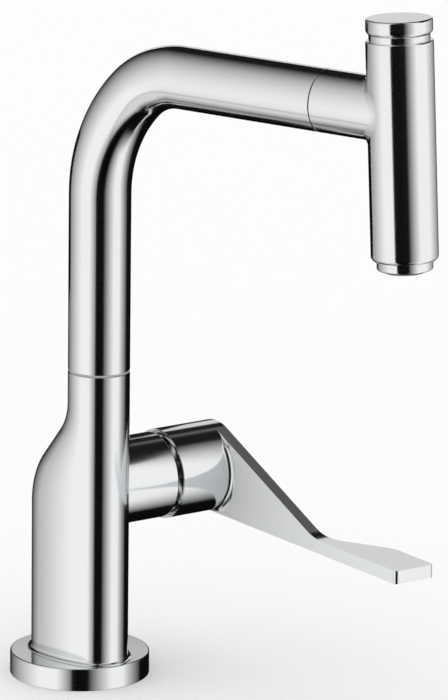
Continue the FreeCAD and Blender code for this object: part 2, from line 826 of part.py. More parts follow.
def moving_cartridge():
    disc = turned("moving_disc", HUB, ring("0", "slide_disc_radius", "slide_disc_start", "slide_disc_end"))
    socket_floor = "tip_reach - stem_tip_radius - free_gap"
    drill(disc, "stem_tip_radius + free_gap", ("0", "0", socket_floor), "disc_thickness")
    carrier = turned("stem_carrier", HUB, ring("0", "carrier_radius", "carrier_start", "carrier_end"))
    half_slot = "stem_radius + free_gap"
    primitive(carrier, "SubtractiveBox", ("-(%s)" % half_slot, "-carrier_slot", "carrier_start"),
              Length="2 * (%s)" % half_slot, Width="2 * carrier_slot", Height="carrier_end - (carrier_start)")
    drill(carrier, "pin_radius", ("-carrier_radius", "0", "pivot_reach"), "2 * carrier_radius", RIGHT)
    pin = new_body("tilt_pin", HUB)
    primitive(pin, "AdditiveCylinder", ("-pin_half", "0", "pivot_reach"), RIGHT,
              Radius="pin_radius", Height="2 * pin_half")
    stem = turned("cartridge_stem", HUB, [
        ("0", "tip_reach - stem_tip_radius"),
        ("stem_tip_radius * cos(30)", "tip_reach + stem_tip_radius * sin(30)", "0", "tip_reach", "left"),
        ("stem_radius", "tip_reach + stem_tip_radius"),
        ("stem_radius", "stem_end"),
        ("0", "stem_end"),
    ])
    drill(stem, "pin_radius + fit_gap", ("-stem_radius", "0", "pivot_reach"), "2 * stem_radius", RIGHT)


# Lever, about the hub's axis

def lever_side():
    """Side outline of the lever's arm, as (Y, Z), on the straight that touches the hub's circle."""
    return [
        ("slope_back", "slope_top"),
        ("slope_corner + sweep_tangent * cos(lever_slope)", "paddle_top + sweep_tangent * sin(lever_slope)"),
        ("slope_corner - sweep_tangent", "paddle_top",
         "slope_corner - sweep_tangent", "paddle_top + lever_sweep_radius", "right"),
        ("-lever_length", "paddle_top"),
        ("-lever_length", "-lever_hub_radius"),
        ("0", "-lever_hub_radius"),
        ("0", "0"),
    ]


def lever_plan():
    """Plan of the lever's arm, as (X, Y): a flat inner side, and an outer side that swells to the paddle."""
    return [
        ("lever_inner", "0"),
        ("lever_inner", "-lever_length"),
        ("paddle_out", "-lever_length"),
        ("paddle_out", "-paddle_end_back"),
        ("paddle_last_out", "-paddle_last_back",
         "paddle_out - paddle_outer_radius", "-paddle_end_back", "left"),
        ("paddle_first_out", "-paddle_first_back"),
        ("lever_outer", "-paddle_start", "lever_outer + paddle_inner_radius", "-paddle_start", "right"),
        ("lever_outer", "0"),
    ]


def at_tip(edge):
    """Test for the upright corners at the paddle's end."""
    box = edge.BoundBox
    return near(box.YMin, -number("lever_length")) and near(box.YLength, 0) and near(box.XLength, 0)


def lever():
    body = new_body("lever_handle", LEVER)
    plan = new_sketch(body, "XY_Plane", "-lever_hub_radius")
    draw(plan, lever_plan())
    extrude(body, plan, "Pad", "2 * lever_hub_radius")
    trim = new_sketch(body, "YZ_Plane")
    draw(trim, lever_side())
    far = "lever_length + lever_hub_radius"
    high = "2 * lever_hub_radius"
    draw(trim, [("-(%s)" % far, "-(%s)" % high), (far, "-(%s)" % high), (far, high), ("-(%s)" % far, high)])
    extrude(body, trim, "Pocket", "4 * paddle_out", midplane=True)
    soften(body, "Fillet", "paddle_corner", at_tip)
    primitive(body, "AdditiveCylinder", ("lever_hub_start", "0", "0"), RIGHT,
              Radius="lever_hub_radius", Height="lever_outer - lever_hub_start")
    soften(body, "Fillet", "hub_gap_edge", rim("lever_hub_radius", "lever_hub_start", V(1, 0, 0)))
    drill(body, "lever_cup_radius", ("lever_hub_start", "0", "0"), "lever_cup_floor - lever_hub_start", RIGHT)
    drill(body, "stem_radius + fit_gap", ("lever_cup_floor", "0", "0"),
          "stem_socket_end - lever_cup_floor", RIGHT)
    drill(body, "grub_radius + fit_gap", ("grub_reach", "0", "-lever_hub_radius"), "lever_hub_radius")
    drill(body, "plug_radius + fit_gap", ("grub_reach", "0", "-lever_hub_radius"), "plug_floor")
    place = LEVER + " * placement(vector(grub_reach; 0; -stem_radius - grub_length); vector(0; 0; 1); 0)"
    screw = turned("handle_screw", place, ring("0", "grub_radius", "0", "grub_length"))
    hex_socket(screw, "nut_screw_key", ("0", "0", "0"), "grub_radius")
    place = LEVER + " * placement(vector(grub_reach; 0; -lever_hub_radius + plug_sink); vector(0; 0; 1); 0)"
    turned("screw_plug", place, ring("0", "plug_radius", "0", "plug_length"))


# Swivel and spout

def stop_screw():
    screw = new_body("stop_screw", NECK)
    inner = "spigot_radius - stop_tip_depth"
    seat = "spigot_radius + 2 * fit_gap + free_gap"
    primitive(screw, "AdditiveCylinder", ("0", inner, "stop_height"), BACK,
              Radius="stop_tip_radius", Height="tube_radius - free_gap - (%s)" % inner)
    primitive(screw, "AdditiveCylinder", ("0", seat, "stop_height"), BACK,
              Radius="stop_screw_radius", Height="tube_radius - free_gap - (%s)" % seat)
    key_floor = "tube_radius - stop_screw_radius"
    hex_socket(screw, "stop_key", ("0", key_floor, "stop_height"), "stop_screw_radius", BACK)


def swivel():
    turned("swivel_seam_ring", SPOUT, ring("spigot_radius + 4 * fit_gap", "tube_radius - seam_step",
                                           "neck_top + flush_gap", "tube_foot"))
    sleeve = turned("swivel_sleeve", SPOUT, [
        ("spigot_bore", "spigot_foot"),
        ("spigot_radius", "spigot_foot"),
        ("spigot_radius", "tube_foot + flush_gap"),
        ("sleeve_radius", "tube_foot + flush_gap"),
        ("sleeve_radius", "sleeve_top"),
        ("spigot_bore", "sleeve_top"),
    ])
    low = "stop_height - stop_tip_radius - free_gap"
    high = "stop_height + stop_tip_radius + free_gap"
    slot = ring("spigot_radius - stop_slot_depth", "spigot_radius + stop_slot_depth", low, high)
    revolve(sleeve, slot, "Groove", "YZ_Plane", "2 * (swivel_half + stop_slot_margin)")
    for label, foot in (("lower_slip_ring", "lower_slip_foot"), ("upper_slip_ring", "upper_slip_foot")):
        turned(label, SPOUT, ring("spigot_radius + fit_gap", "slip_radius", foot, foot + " + slip_height"))


def spout_route(foot, end):
    """The spout's middle line, as (Y, Z): up, a wide bend, a tighter one, and out along the arm."""
    return [
        ("0", foot),
        ("0", "bend_foot"),
        ("-bend_middle_reach", "bend_middle_height", "-riser_bend", "bend_foot", "left"),
        ("-bend_end", "arm_height", "-bend_end", "arm_height - arm_bend", "left"),
        ("-" + end, "arm_height"),
    ]


def spout_pipe(label, outer, inner, foot, end):
    body = new_body(label, SPOUT)
    section = new_sketch(body, "XY_Plane", foot)
    draw_circle(section, outer)
    draw_circle(section, inner)
    path = new_sketch(body, "YZ_Plane")
    draw(path, spout_route(foot, end), closed=False)
    sweep(body, "AdditivePipe", section, path)
    return body


def spout():
    tube = spout_pipe("spout_tube", "tube_radius", "tube_bore", "tube_foot", "arm_end")
    soften(tube, "Chamfer", "neck_edge", rim("tube_radius", "tube_foot"))
    spout_pipe("hose_upper", "hose_radius", "hose_bore", "hose_split + flush_gap", "hose_join")
    turned("docking_collar", ARM, ring("collar_bore", "sleeve_radius", "collar_start", "arm_end - free_gap"))


# Spray head

def hose_coupling():
    """What the head carries inside the arm, turned about the arm's axis."""
    turned("hose_in_arm", ARM, ring("hose_bore", "hose_radius", "hose_join + flush_gap", "hose_end"))
    turned("hose_ferrule", ARM, ring("hose_radius + fit_gap", "ferrule_radius",
                                     "hose_end - ferrule_length", "hose_end"))
    turned("hose_nut", ARM, [
        ("hose_bore", "hose_end"),
        ("hose_nut_radius", "hose_end"),
        ("hose_nut_radius", "nut_end"),
        ("ferrule_radius + fit_gap", "nut_end"),
        ("ferrule_radius + fit_gap", "hose_end + hose_nut_wall"),
        ("hose_bore", "hose_end + hose_nut_wall"),
    ])
    groove = "spigot_outer - ring_depth"
    flange = "dock_bore - fit_gap"
    turned("docking_spigot", ARM, [
        ("spigot_water", "tail_start"),
        ("ferrule_radius", "tail_start"),
        ("ferrule_radius", "nut_end"),
        ("spigot_outer", "nut_end"),
        ("spigot_outer", "ring_start"),
        (groove, "ring_start"),
        (groove, "ring_start + ring_width"),
        ("spigot_outer", "ring_start + ring_width"),
        ("spigot_outer", "spigot_flange_start"),
        (flange, "spigot_flange_start"),
        (flange, "spigot_flange_start + spigot_flange"),
        ("spigot_outer", "spigot_flange_start + spigot_flange"),
        ("spigot_outer", "dock_bore_end"),
        ("nipple_radius", "dock_bore_end"),
        ("nipple_radius", "nipple_end"),
        ("valve_radius + fit_gap", "nipple_end"),
        ("valve_radius + fit_gap", "valve_start"),
        ("spigot_water", "valve_start"),
    ])
    turned("docking_ring", ARM, ring(groove, "collar_bore - fit_gap",
                                     "ring_start + fit_gap", "ring_start + ring_width - fit_gap"))
    turned("spray_check_valve", ARM, ring("valve_water", "valve_radius", "valve_start",
                                          "valve_start + valve_length"))


def at_dock(edge):
    """Test for the line where the docking sleeve runs into the head."""
    if isinstance(curve_of(edge), (Part.Line, Part.Circle)):
        return False
    return edge.BoundBox.YMin > 0 and edge.BoundBox.YMax < number("head_radius + head_top_edge")


def head_shell():
    body = turned("head_shell", HEAD, ring("0", "head_radius", "-head_foot", "head_top"))
    primitive(body, "AdditiveCylinder", ("0", "0", "0"), TO_RISER,
              Radius="tube_radius", Height="sleeve_length")
    soften(body, "Fillet", "dock_fillet", at_dock)
    soften(body, "Fillet", "head_foot_edge", rim("head_radius", "-head_foot"))
    soften(body, "Fillet", "head_top_edge", rim("head_radius", "head_top"))
    thread = "aerator_thread_radius + thread_gap"
    mouth = "head_top - head_mouth_depth"
    step = "thread_gap - aerator_top"
    revolve(body, [
        ("0", "-head_foot"),
        (thread, "-head_foot"),
        (thread, step),
        ("head_bore", step),
        ("head_bore", mouth),
        ("head_mouth", mouth),
        ("head_mouth", "head_top"),
        ("0", "head_top"),
    ], "Groove")
    inlet = ("0", "head_inlet * cos(head_lean)", "head_inlet * sin(head_lean)")
    drill(body, "dock_bore", inlet, "sleeve_length - (head_inlet)", TO_RISER)
    drill(body, "nipple_radius + fit_gap", ("0", "0", "0"), "head_inlet", TO_RISER)


def spray_core():
    land = "core_land - core_foot"
    shoulder = "core_top - core_head"
    body = turned("spray_core", HEAD, [
        ("core_bore", "-core_foot"),
        ("core_radius", "-core_foot"),
        ("core_radius", land),
        ("core_waist", land),
        ("core_waist", shoulder),
        ("core_radius", shoulder),
        ("core_radius", "core_top"),
        ("core_bore", "core_top"),
    ])
    seat = ("0", "nipple_seat * cos(head_lean)", "nipple_seat * sin(head_lean)")
    drill(body, "nipple_radius + fit_gap", seat, "core_radius", TO_RISER)
    drill(body, "spigot_water", ("0", "0", "0"), "core_radius", TO_RISER)


def selector():
    flange_top = "core_top + selector_flange_height"
    bore = "button_stem_radius + free_gap"
    turned("select_valve", HEAD, [
        ("0", "core_top"),
        ("selector_flange", "core_top"),
        ("selector_flange", flange_top),
        ("selector_radius", flange_top),
        ("selector_radius", "selector_top"),
        (bore, "selector_top"),
        (bore, "stem_floor"),
        ("0", "stem_floor"),
    ])
    turned("valve_nut", HEAD, ring("selector_radius + thread_gap", "head_bore - thread_gap",
                                   flange_top, flange_top + " + selector_nut_height"))


def aerator():
    turned("aerator_seal", HEAD, ring("aerator_seal_bore", "aerator_thread_radius - thread_gap",
                                      "-aerator_top", "-core_foot"))
    lip = "aerator_lip - aerator_foot"
    housing = turned("aerator_housing", HEAD, [
        ("aerator_bore", "-aerator_top"),
        ("aerator_thread_radius", "-aerator_top"),
        ("aerator_thread_radius", "-aerator_foot"),
        ("nozzle_radius + thread_gap", "-aerator_foot"),
        ("nozzle_radius + thread_gap", lip),
        ("aerator_bore", lip),
    ])
    soften(housing, "Fillet", "aerator_edge", rim("aerator_thread_radius", "-aerator_foot"))
    insert = turned("aerator_insert", HEAD, [
        ("0", "-insert_top"),
        ("aerator_bore - thread_gap", "-insert_top"),
        ("aerator_bore - thread_gap", lip),
        ("nozzle_radius", lip),
        ("nozzle_radius", "-nozzle_foot"),
        ("0", "-nozzle_foot"),
    ])
    for radius, count in (("jet_inner_ring", 6), ("jet_outer_ring", 12)):
        hole = drill(insert, "jet_radius", (radius, "0", "-nozzle_foot"), "nozzle_foot - insert_top")
        around(insert, hole, radius, count)
    screen = turned("aerator_screen", HEAD, ring("0", "screen_radius", "-insert_top",
                                                 "screen_thickness - insert_top"))
    for radius, count in (("jet_inner_ring", 8), ("jet_outer_ring", 16)):
        hole = drill(screen, "screen_hole", (radius, "0", "-insert_top"), "screen_thickness")
        around(screen, hole, radius, count)


def push_button():
    cap = turned("button_cap", HEAD, [
        ("0", "button_foot"),
        ("button_radius - button_chamfer", "button_foot"),
        ("button_radius", "button_foot + button_chamfer"),
        ("button_radius", "button_top"),
        ("0", "button_top"),
    ])
    soften(cap, "Fillet", "button_edge", rim("button_radius", "button_top"))
    turned("button_skirt", HEAD, ring("skirt_radius - skirt_wall", "skirt_radius",
                                      "skirt_foot", "button_foot"))
    turned("button_stem", HEAD, ring("0", "button_stem_radius", "button_stem_foot", "button_foot"))
    spring = new_body("button_spring", HEAD)
    wire = new_sketch(spring, "XZ_Plane")
    draw_circle(wire, "spring_wire", "spring_radius", "selector_top + spring_wire + flush_gap")
    coil = spring.newObject("PartDesign::AdditiveHelix", "coil")
    coil.Profile = wire
    coil.ReferenceAxis = (wire, ["V_Axis"])
    coil.Mode = "height-turns-angle"
    bind(coil, "Height", "button_foot - selector_top - 2 * spring_wire - 2 * flush_gap")
    bind(coil, "Turns", "spring_turns")
    spring.Tip = coil


MAKERS = (
    base_flange, foot_fixings, mixer_body, waterway_block, lower_hose,
    cartridge, moving_cartridge, lever, stop_screw, swivel, spout,
    hose_coupling, head_shell, spray_core, selector, aerator, push_button,
)
for make in MAKERS:
    make()
doc.recompute()

for item in doc.Objects:
    if "Invalid" in item.State or "Error" in item.State:
        raise RuntimeError("%s did not build" % item.Name)
os.makedirs("parts", exist_ok=True)
for node in nodes:
    shape = node.Shape
    if shape.isNull() or not shape.isValid() or len(shape.Solids) != 1:
        raise RuntimeError("%s is not one sound solid" % node.Label)
    shape.exportStep("parts/%s.step" % node.Label)
    print("%s %.1f mm3" % (node.Label, shape.Volume))
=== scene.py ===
"""Looks of a pull-out kitchen mixer tap: its chromed pieces, finishes, floor, light and camera.

The file is laid out as an add-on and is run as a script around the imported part. Lengths are in metres
in the part's own frame: the foot stands at the origin, +Z is up and the lever points to -Y.
"""
import json
import math

import bmesh
import bpy
from mathutils import Matrix, Vector


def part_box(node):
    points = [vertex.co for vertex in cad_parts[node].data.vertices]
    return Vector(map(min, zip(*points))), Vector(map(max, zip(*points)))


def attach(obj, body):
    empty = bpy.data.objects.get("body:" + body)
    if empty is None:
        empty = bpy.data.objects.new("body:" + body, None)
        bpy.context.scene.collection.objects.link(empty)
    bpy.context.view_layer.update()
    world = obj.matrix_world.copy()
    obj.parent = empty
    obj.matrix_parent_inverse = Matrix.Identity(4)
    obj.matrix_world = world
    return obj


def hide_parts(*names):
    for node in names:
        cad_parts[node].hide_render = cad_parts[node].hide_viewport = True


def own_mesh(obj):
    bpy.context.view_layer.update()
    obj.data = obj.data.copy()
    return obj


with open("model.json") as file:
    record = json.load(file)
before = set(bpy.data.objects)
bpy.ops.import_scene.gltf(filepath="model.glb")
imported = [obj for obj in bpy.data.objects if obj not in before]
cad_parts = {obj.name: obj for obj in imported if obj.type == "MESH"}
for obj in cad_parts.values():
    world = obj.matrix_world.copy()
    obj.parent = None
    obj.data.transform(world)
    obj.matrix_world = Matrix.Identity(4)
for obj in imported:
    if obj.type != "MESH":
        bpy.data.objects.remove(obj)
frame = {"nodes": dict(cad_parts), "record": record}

bl_info = {
    "name": "Pull-out Mixer Tap",
    "version": (1, 0, 0),
    "blender": (4, 5, 0),
    "location": "View3D > Sidebar > Tap",
    "description": "Models a chromed kitchen mixer tap with a pull-out head",
    "category": "Add Mesh",
}

MM = 0.001
ROUND = 128
MERGE = 0.004 * MM
TOUCH = 0.02 * MM
SMOOTH_ANGLE = math.radians(30)
EDGE_ANGLE = math.radians(40)
EDGE_STEPS = 3
QUARTER = math.radians(90)
FLAT = 0.99


def length(name, text, size):
    """A length that a user can change, given in millimetres."""
    return bpy.props.FloatProperty(name=name, description=text, default=size * MM, min=0,
                                   precision=5, unit="LENGTH", subtype="DISTANCE")


def angle(name, text, degrees):
    return bpy.props.FloatProperty(name=name, description=text, default=math.radians(degrees),
                                   precision=3, unit="ROTATION", subtype="ANGLE")


def linear(code):
    """Linear colour of an sRGB hex code, with full alpha."""
    shares = [int(code[start:start + 2], 16) / 255 for start in (1, 3, 5)]
    return [s / 12.92 if s <= 0.04045 else ((s + 0.055) / 1.055) ** 2.4 for s in shares] + [1]


def colour(name, text, code):
    return bpy.props.FloatVectorProperty(name=name, description=text, default=linear(code), size=4,
                                         min=0, max=1, subtype="COLOR")


def whole(name, text, number):
    return bpy.props.IntProperty(name=name, description=text, default=number, min=1)


def half_width(node):
    low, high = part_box(node)
    return (high.x - low.x) / 2 / MM


class TapBodySizes(bpy.types.PropertyGroup):
    flange_radius: length("Flange radius", "Radius of the rosette on the worktop", half_width("base_flange"))
    flange_height: length("Flange height", "Height of the rosette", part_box("base_flange")[1].z / MM)
    flange_edge: length("Flange edge", "Rounding of the rosette's upper edge, thrice the lower", 0.8)
    flange_bore: length("Flange bore", "Radius of the hole under the body", 14.6)
    tube_radius: length("Tube radius", "Radius of the neck, of the body's front and of the spout", 14.75)
    neck_offset: length("Neck offset", "How far the neck's axis stands before the middle of the foot", 15)
    rear_radius: length("Rear radius", "Radius of the body's rear round", 20)
    rear_offset: length("Rear offset", "How far the rear round's axis stands behind the middle", 6)
    flare: length("Foot flare", "Hollow rounding between the body and the rosette", 1.8)
    lip: length("Foot lip", "Height of the thin edge under the flare", 0.3)
    shoulder: length("Shoulder height", "Where the back starts to lean in", 84)
    shoulder_radius: length("Shoulder radius", "Rounding of the shoulder", 34)
    nape_radius: length("Nape radius", "Rounding where the lean ends in the neck", 21.5)
    lean: angle("Lean", "Lean of the back", 43.8)
    neck_top: length("Neck top", "Height of the neck", 152.8)
    neck_edge: length("Neck edge", "Bevel of the neck's upper edge", 0.5)
    wall: length("Body wall", "Wall of the casting", 2.1)
    hub_height: length("Hub height", "Height of the side boss", 91.75)
    boss_radius: length("Boss radius", "Radius of the side boss", 20.8)
    boss_bore: length("Boss bore", "Bore of the side boss", 18.3)
    boss_foot: length("Boss foot", "Where the boss starts inside the body's wall", 12.7)
    boss_end: length("Boss end", "How far the boss stands out", 42.7)
    boss_edge: length("Boss edge", "Rounding of the boss's edge", 0.4)


class TapLeverSizes(bpy.types.PropertyGroup):
    hub_radius: length("Hub radius", "Radius of the lever's hub", 21.8)
    cup_radius: length("Cup radius", "Radius of the hollow in the hub", 19.8)
    cup_floor: length("Cup floor", "Where the hollow in the hub ends", 56)
    hub_start: length("Hub start", "Where the hub starts", 45.5)
    inner: length("Inner face", "Where the arm's inner face lies", 73)
    thickness: length("Arm thickness", "Thickness of the arm", 6)
    hollow: length("Hub hollow", "Hollow rounding between hub and arm", 3)
    slope: angle("Slope", "How far the arm's upper side slopes", 23.5)
    sweep: length("Sweep radius", "Hollow bend between slope and paddle", 35)
    reach: length("Reach", "How far the paddle reaches from the hub's axis", 154.5)
    paddle: length("Paddle thickness", "Thickness of the paddle", 6.4)
    width: length("Paddle width", "Width of the paddle at its end", 22.2)
    turn: angle("Paddle turn", "How far the outer side swings out", 28.5)
    paddle_start: length("Paddle start", "Where the outer side starts to swing out", 84)
    inner_bend: length("Inner bend", "Radius of the outer side's first bend", 38)
    outer_bend: length("Outer bend", "Radius of the outer side's second bend", 17.8)
    corner: length("Paddle corner", "Rounding of the paddle's upright corners", 2)
    edge: length("Lever edge", "Rounding of the lever's edges", 0.8)


class TapSpoutSizes(bpy.types.PropertyGroup):
    swivel: angle("Swivel", "How far the spout is turned towards the lever", 18.8)
    foot: length("Spout foot", "Lower end of the riser", 153.8)
    arm_height: length("Arm height", "Height of the arm's axis", 300.5)
    riser_bend: length("Riser bend", "Radius of the bend's lower half", 72)
    arm_bend: length("Arm bend", "Radius of the bend's upper half", 37)
    arm_end: length("Arm end", "Where the arm meets the head's sleeve", 128.5)
    wall: length("Tube wall", "Wall of the tube", 1.5)
    edge: length("Tube edge", "Bevel of the tube's ends", 0.2)
    riser_steps: whole("Riser steps", "Steps of the bend's lower half", 24)
    arm_steps: whole("Arm steps", "Steps of the bend's upper half", 20)


class TapHeadSizes(bpy.types.PropertyGroup):
    reach: length("Reach", "Distance of the head's axis from the riser's", 170)
    lean: angle("Head lean", "How far the head leans out at its foot", 3)
    radius: length("Head radius", "Radius of the spray head", 15.5)
    bore: length("Head bore", "Bore of the spray head", 13.9)
    top: length("Head top", "Upper edge above the arm's axis", 33.3)
    foot: length("Head foot", "Lower edge under the arm's axis", 68)
    top_edge: length("Head top edge", "Rounding of the upper edge", 0.8)
    foot_edge: length("Head foot edge", "Rounding of the lower edge", 2.3)
    seam: length("Seam", "Gap between the arm and the sleeve", 0.6)
    sleeve_bore: length("Sleeve bore", "Bore of the docking sleeve", 13.1)
    blend: length("Sleeve blend", "Hollow rounding between sleeve and head", 2.6)
    sink: length("Blend sink", "How far the blend's rim lies inside the head", 0.05)
    ring_radius: length("Outlet ring radius", "Radius of the ring at the outlet", 12.9)
    ring_top: length("Outlet ring top", "Upper end of the outlet ring", 62)
    ring_foot: length("Outlet ring foot", "Lower end of the outlet ring", 72.3)
    ring_edge: length("Outlet ring edge", "Rounding of the outlet ring", 1)
    nozzle_radius: length("Nozzle radius", "Radius of the grey insert", 9.2)
    ring_gap: length("Outlet gap", "Gap between the ring and the grey insert", 0.1)
    button_radius: length("Button radius", "Radius of the push button", 15.3)
    button_foot: length("Button foot", "Lower end of the button's cap", 36.1)
    button_top: length("Button top", "Upper end of the button's cap", 43.3)
    button_chamfer: length("Button chamfer", "Slant under the button's cap", 1.3)
    button_edge: length("Button edge", "Rounding of the button's upper edge", 0.9)
    skirt_radius: length("Skirt radius", "Radius of the button's neck", 14)
    skirt_wall: length("Skirt wall", "Wall of the button's neck", 1.4)
    skirt_foot: length("Skirt foot", "Lower end of the button's neck", 29)
    spring_foot: length("Spring foot", "Lower end of the button's spring", 25.9)
    travel: length("Button travel", "How far the button goes down, with a little room for the spring", 2.4)


class TapStudio(bpy.types.PropertyGroup):
    background: colour("Background", "Colour of backdrop and lights", "#FFFFFF")
    worktop: colour("Worktop", "Colour of the floor", "#FDFDFD")
    dark: colour("Dark", "Colour of the unlit studio, as the chrome sees it", "#0A0B0C")
    felt: colour("Felt", "Colour of the black cards", "#060707")
    floor_size: bpy.props.FloatProperty(name="Floor size", description="Side of the floor", default=6,
                                        unit="LENGTH", subtype="DISTANCE")
    sight: bpy.props.FloatProperty(name="Sight", description="How far the camera sees", default=100,
                                   unit="LENGTH", subtype="DISTANCE")
    turn: angle("Studio turn", "How far the camera looks from +Y towards +X", 35.337)
    pitch: angle("Camera pitch", "How far the camera looks down", 14.358)
    roll: angle("Camera roll", "How far the camera is turned about its own line", 0.688)
    lens: bpy.props.FloatProperty(name="Lens", description="Focal length", default=300.73, unit="CAMERA")
    sensor: bpy.props.FloatProperty(name="Sensor", description="Width of the sensor", default=36,
                                    unit="CAMERA")
    camera_place: bpy.props.FloatVectorProperty(name="Camera place", description="Where the camera stands",
                                                default=[side * MM for side in (-1502.6, -2236.5, 849.8)],
                                                size=3, unit="LENGTH", subtype="TRANSLATION")


# Modelling by hand's own operators

def start(name, count, radius, place=(0, 0, 0), turn=0):
    """Add an open circle, and go into edit mode with all of it selected."""
    bpy.ops.object.select_all(action="DESELECT")
    bpy.ops.mesh.primitive_circle_add(vertices=count, radius=radius, location=place,
                                      rotation=(0, 0, turn), fill_type="NOTHING")
    bpy.ops.object.transform_apply(location=True, rotation=True, scale=True)
    piece = bpy.context.object
    piece.name = name
    piece.data.name = name
    bpy.ops.object.mode_set(mode="EDIT")
    bpy.ops.mesh.select_mode(type="VERT")
    bpy.ops.mesh.select_all(action="SELECT")
    return piece


def draw_out(offset):
    """Extrude what is selected."""
    bpy.ops.mesh.extrude_region_move(TRANSFORM_OT_translate={"value": offset})


def pick(test, kind="EDGE"):
    """Select the edges, or the points, that lie wholly where the test says."""
    mesh = bmesh.from_edit_mesh(bpy.context.edit_object.data)
    parts = mesh.verts if kind == "VERT" else mesh.edges
    chosen = []
    for part in parts:
        points = [part] if kind == "VERT" else part.verts
        if all(test(point.co) for point in points):
            chosen.append(part)
    bpy.ops.mesh.select_mode(type=kind)
    for part in (*mesh.faces, *mesh.edges, *mesh.verts):
        part.select = False
    for part in chosen:
        part.select_set(True)
    mesh.select_flush(True)
    bmesh.update_edit_mesh(bpy.context.edit_object.data)


def put(points):
    """Move the extruded points, each to the place listed for the point that it came from."""
    mesh = bmesh.from_edit_mesh(bpy.context.edit_object.data)
    spot = mesh.verts.layers.int["spot"]
    for vert in mesh.verts:
        if vert.select:
            vert.co = points[vert[spot]]
    bmesh.update_edit_mesh(bpy.context.edit_object.data)


def number_points():
    """Give each point of the first circle its number, which extruding hands on."""
    mesh = bmesh.from_edit_mesh(bpy.context.edit_object.data)
    spot = mesh.verts.layers.int.new("spot")
    for vert in mesh.verts:
        vert[spot] = vert.index
    bmesh.update_edit_mesh(bpy.context.edit_object.data)


def forget_numbers(piece):
    layer = piece.data.attributes.get("spot")
    if layer:
        piece.data.attributes.remove(layer)


def near(value, target):
    return abs(value - target) < TOUCH


def bevel_ring(radius, height, width, steps=5):
    """Round the edges of the ring at that radius and height."""
    pick(lambda co: near(co.z, height) and near(math.hypot(co.x, co.y), radius))
    bpy.ops.mesh.bevel(offset=width, offset_type="OFFSET", segments=steps, affect="EDGES")


def add_modifier(piece, kind, **settings):
    modifier = piece.modifiers.new(kind.title(), kind)
    for key, value in settings.items():
        setattr(modifier, key, value)
    bpy.ops.object.modifier_apply(modifier=modifier.name)


def face_outwards(piece):
    """Turn every face one way, and the whole piece over if that way is inwards."""
    bpy.ops.mesh.select_all(action="SELECT")
    bpy.ops.mesh.normals_make_consistent(inside=False)
    if bmesh.from_edit_mesh(piece.data).calc_volume(signed=True) < 0:
        bpy.ops.mesh.flip_normals()


def close_up(piece):
    """Merge what meets, fill what is open and turn every face outwards."""
    bpy.ops.mesh.select_mode(type="VERT")
    bpy.ops.mesh.select_all(action="SELECT")
    bpy.ops.mesh.remove_doubles(threshold=MERGE)
    bpy.ops.mesh.fill_holes(sides=0)
    face_outwards(piece)
    bpy.ops.object.mode_set(mode="OBJECT")
    forget_numbers(piece)


def settle(piece, place=None, edge=None):
    """Put a piece in its place, round its edges and let broad faces rule the shading."""
    if place is not None:
        piece.matrix_world = place
        bpy.ops.object.transform_apply(location=True, rotation=True, scale=True)
    if edge:
        add_modifier(piece, "BEVEL", width=edge, segments=EDGE_STEPS, limit_method="ANGLE",
                     angle_limit=EDGE_ANGLE)
    bpy.ops.object.shade_smooth_by_angle(angle=SMOOTH_ANGLE)
    add_modifier(piece, "WEIGHTED_NORMAL", keep_sharp=True)


def turned(name, outline, bevels=(), place=None, count=ROUND):
    """Turn a piece: a circle is drawn out and widened from corner to corner of its outline.

    An outline that ends where it began gives a ring, and any other is closed by flat ends.
    """
    radius, height = outline[0]
    piece = start(name, count, radius, (0, 0, height))
    for next_radius, next_height in outline[1:]:
        draw_out((0, 0, next_height - height))
        if next_radius != radius:
            widen = next_radius / radius
            bpy.ops.transform.resize(value=(widen, widen, 1), center_override=(0, 0, next_height))
        radius, height = next_radius, next_height
    bpy.ops.mesh.select_mode(type="VERT")
    bpy.ops.mesh.select_all(action="SELECT")
    bpy.ops.mesh.remove_doubles(threshold=MERGE)
    bpy.ops.mesh.fill_holes(sides=0)
    for ring_radius, ring_height, width in bevels:
        bevel_ring(ring_radius, ring_height, width)
    close_up(piece)
    settle(piece, place)
    return piece


def ring(inner, outer, foot, top):
    """Outline of a plain ring, for a piece that is then bevelled."""
    return [(inner, foot), (inner, top), (outer, top), (outer, foot), (inner, foot)]


def dress(piece, body, slot, *nodes):
    """Let a piece ride on its body, take its slot's finish and stand for its nodes."""
    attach(piece, body)
    if nodes:
        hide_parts(*nodes)
    piece.data.materials.clear()
    piece.data.materials.append(finish_of(slot))
    piece.select_set(False)


# Places of the turned pieces

def hub_place(size):
    """The hub's axis runs out along +X."""
    return Matrix.Translation((0, 0, size.hub_height)) @ Matrix.Rotation(QUARTER, 4, "Y")


def spout_place(scene):
    back = Matrix.Translation((0, -scene.tap_body.neck_offset, 0))
    return back @ Matrix.Rotation(scene.tap_spout.swivel, 4, "Z")


def head_place(scene):
    head = scene.tap_head
    out = Matrix.Translation((0, -head.reach, scene.tap_spout.arm_height))
    return spout_place(scene) @ out @ Matrix.Rotation(-head.lean, 4, "X")


# Materials

def add_node(tree, kind, links=None, **settings):
    """Add a node, set it up and join its inputs to other nodes' outputs or to values."""
    node = tree.nodes.new(kind)
    for key, value in settings.items():
        setattr(node, key, value)
    for name, source in (links or {}).items():
        if isinstance(source, bpy.types.NodeSocket):
            tree.links.new(source, node.inputs[name])
        else:
            node.inputs[name].default_value = source
    return node


def new_material(name):
    material = bpy.data.materials.new(name)
    material.use_nodes = True
    material.node_tree.nodes.clear()
    return material, material.node_tree


def mix_colours(tree, factor, first, second):
    """Blend two colours, and hand back the blend's output."""
    blend = add_node(tree, "ShaderNodeMix", {"Factor": factor}, data_type="RGBA")
    for socket in blend.inputs:
        if socket.type == "RGBA":
            socket.default_value = first if socket.name == "A" else second
    return next(out for out in blend.outputs if out.type == "RGBA")


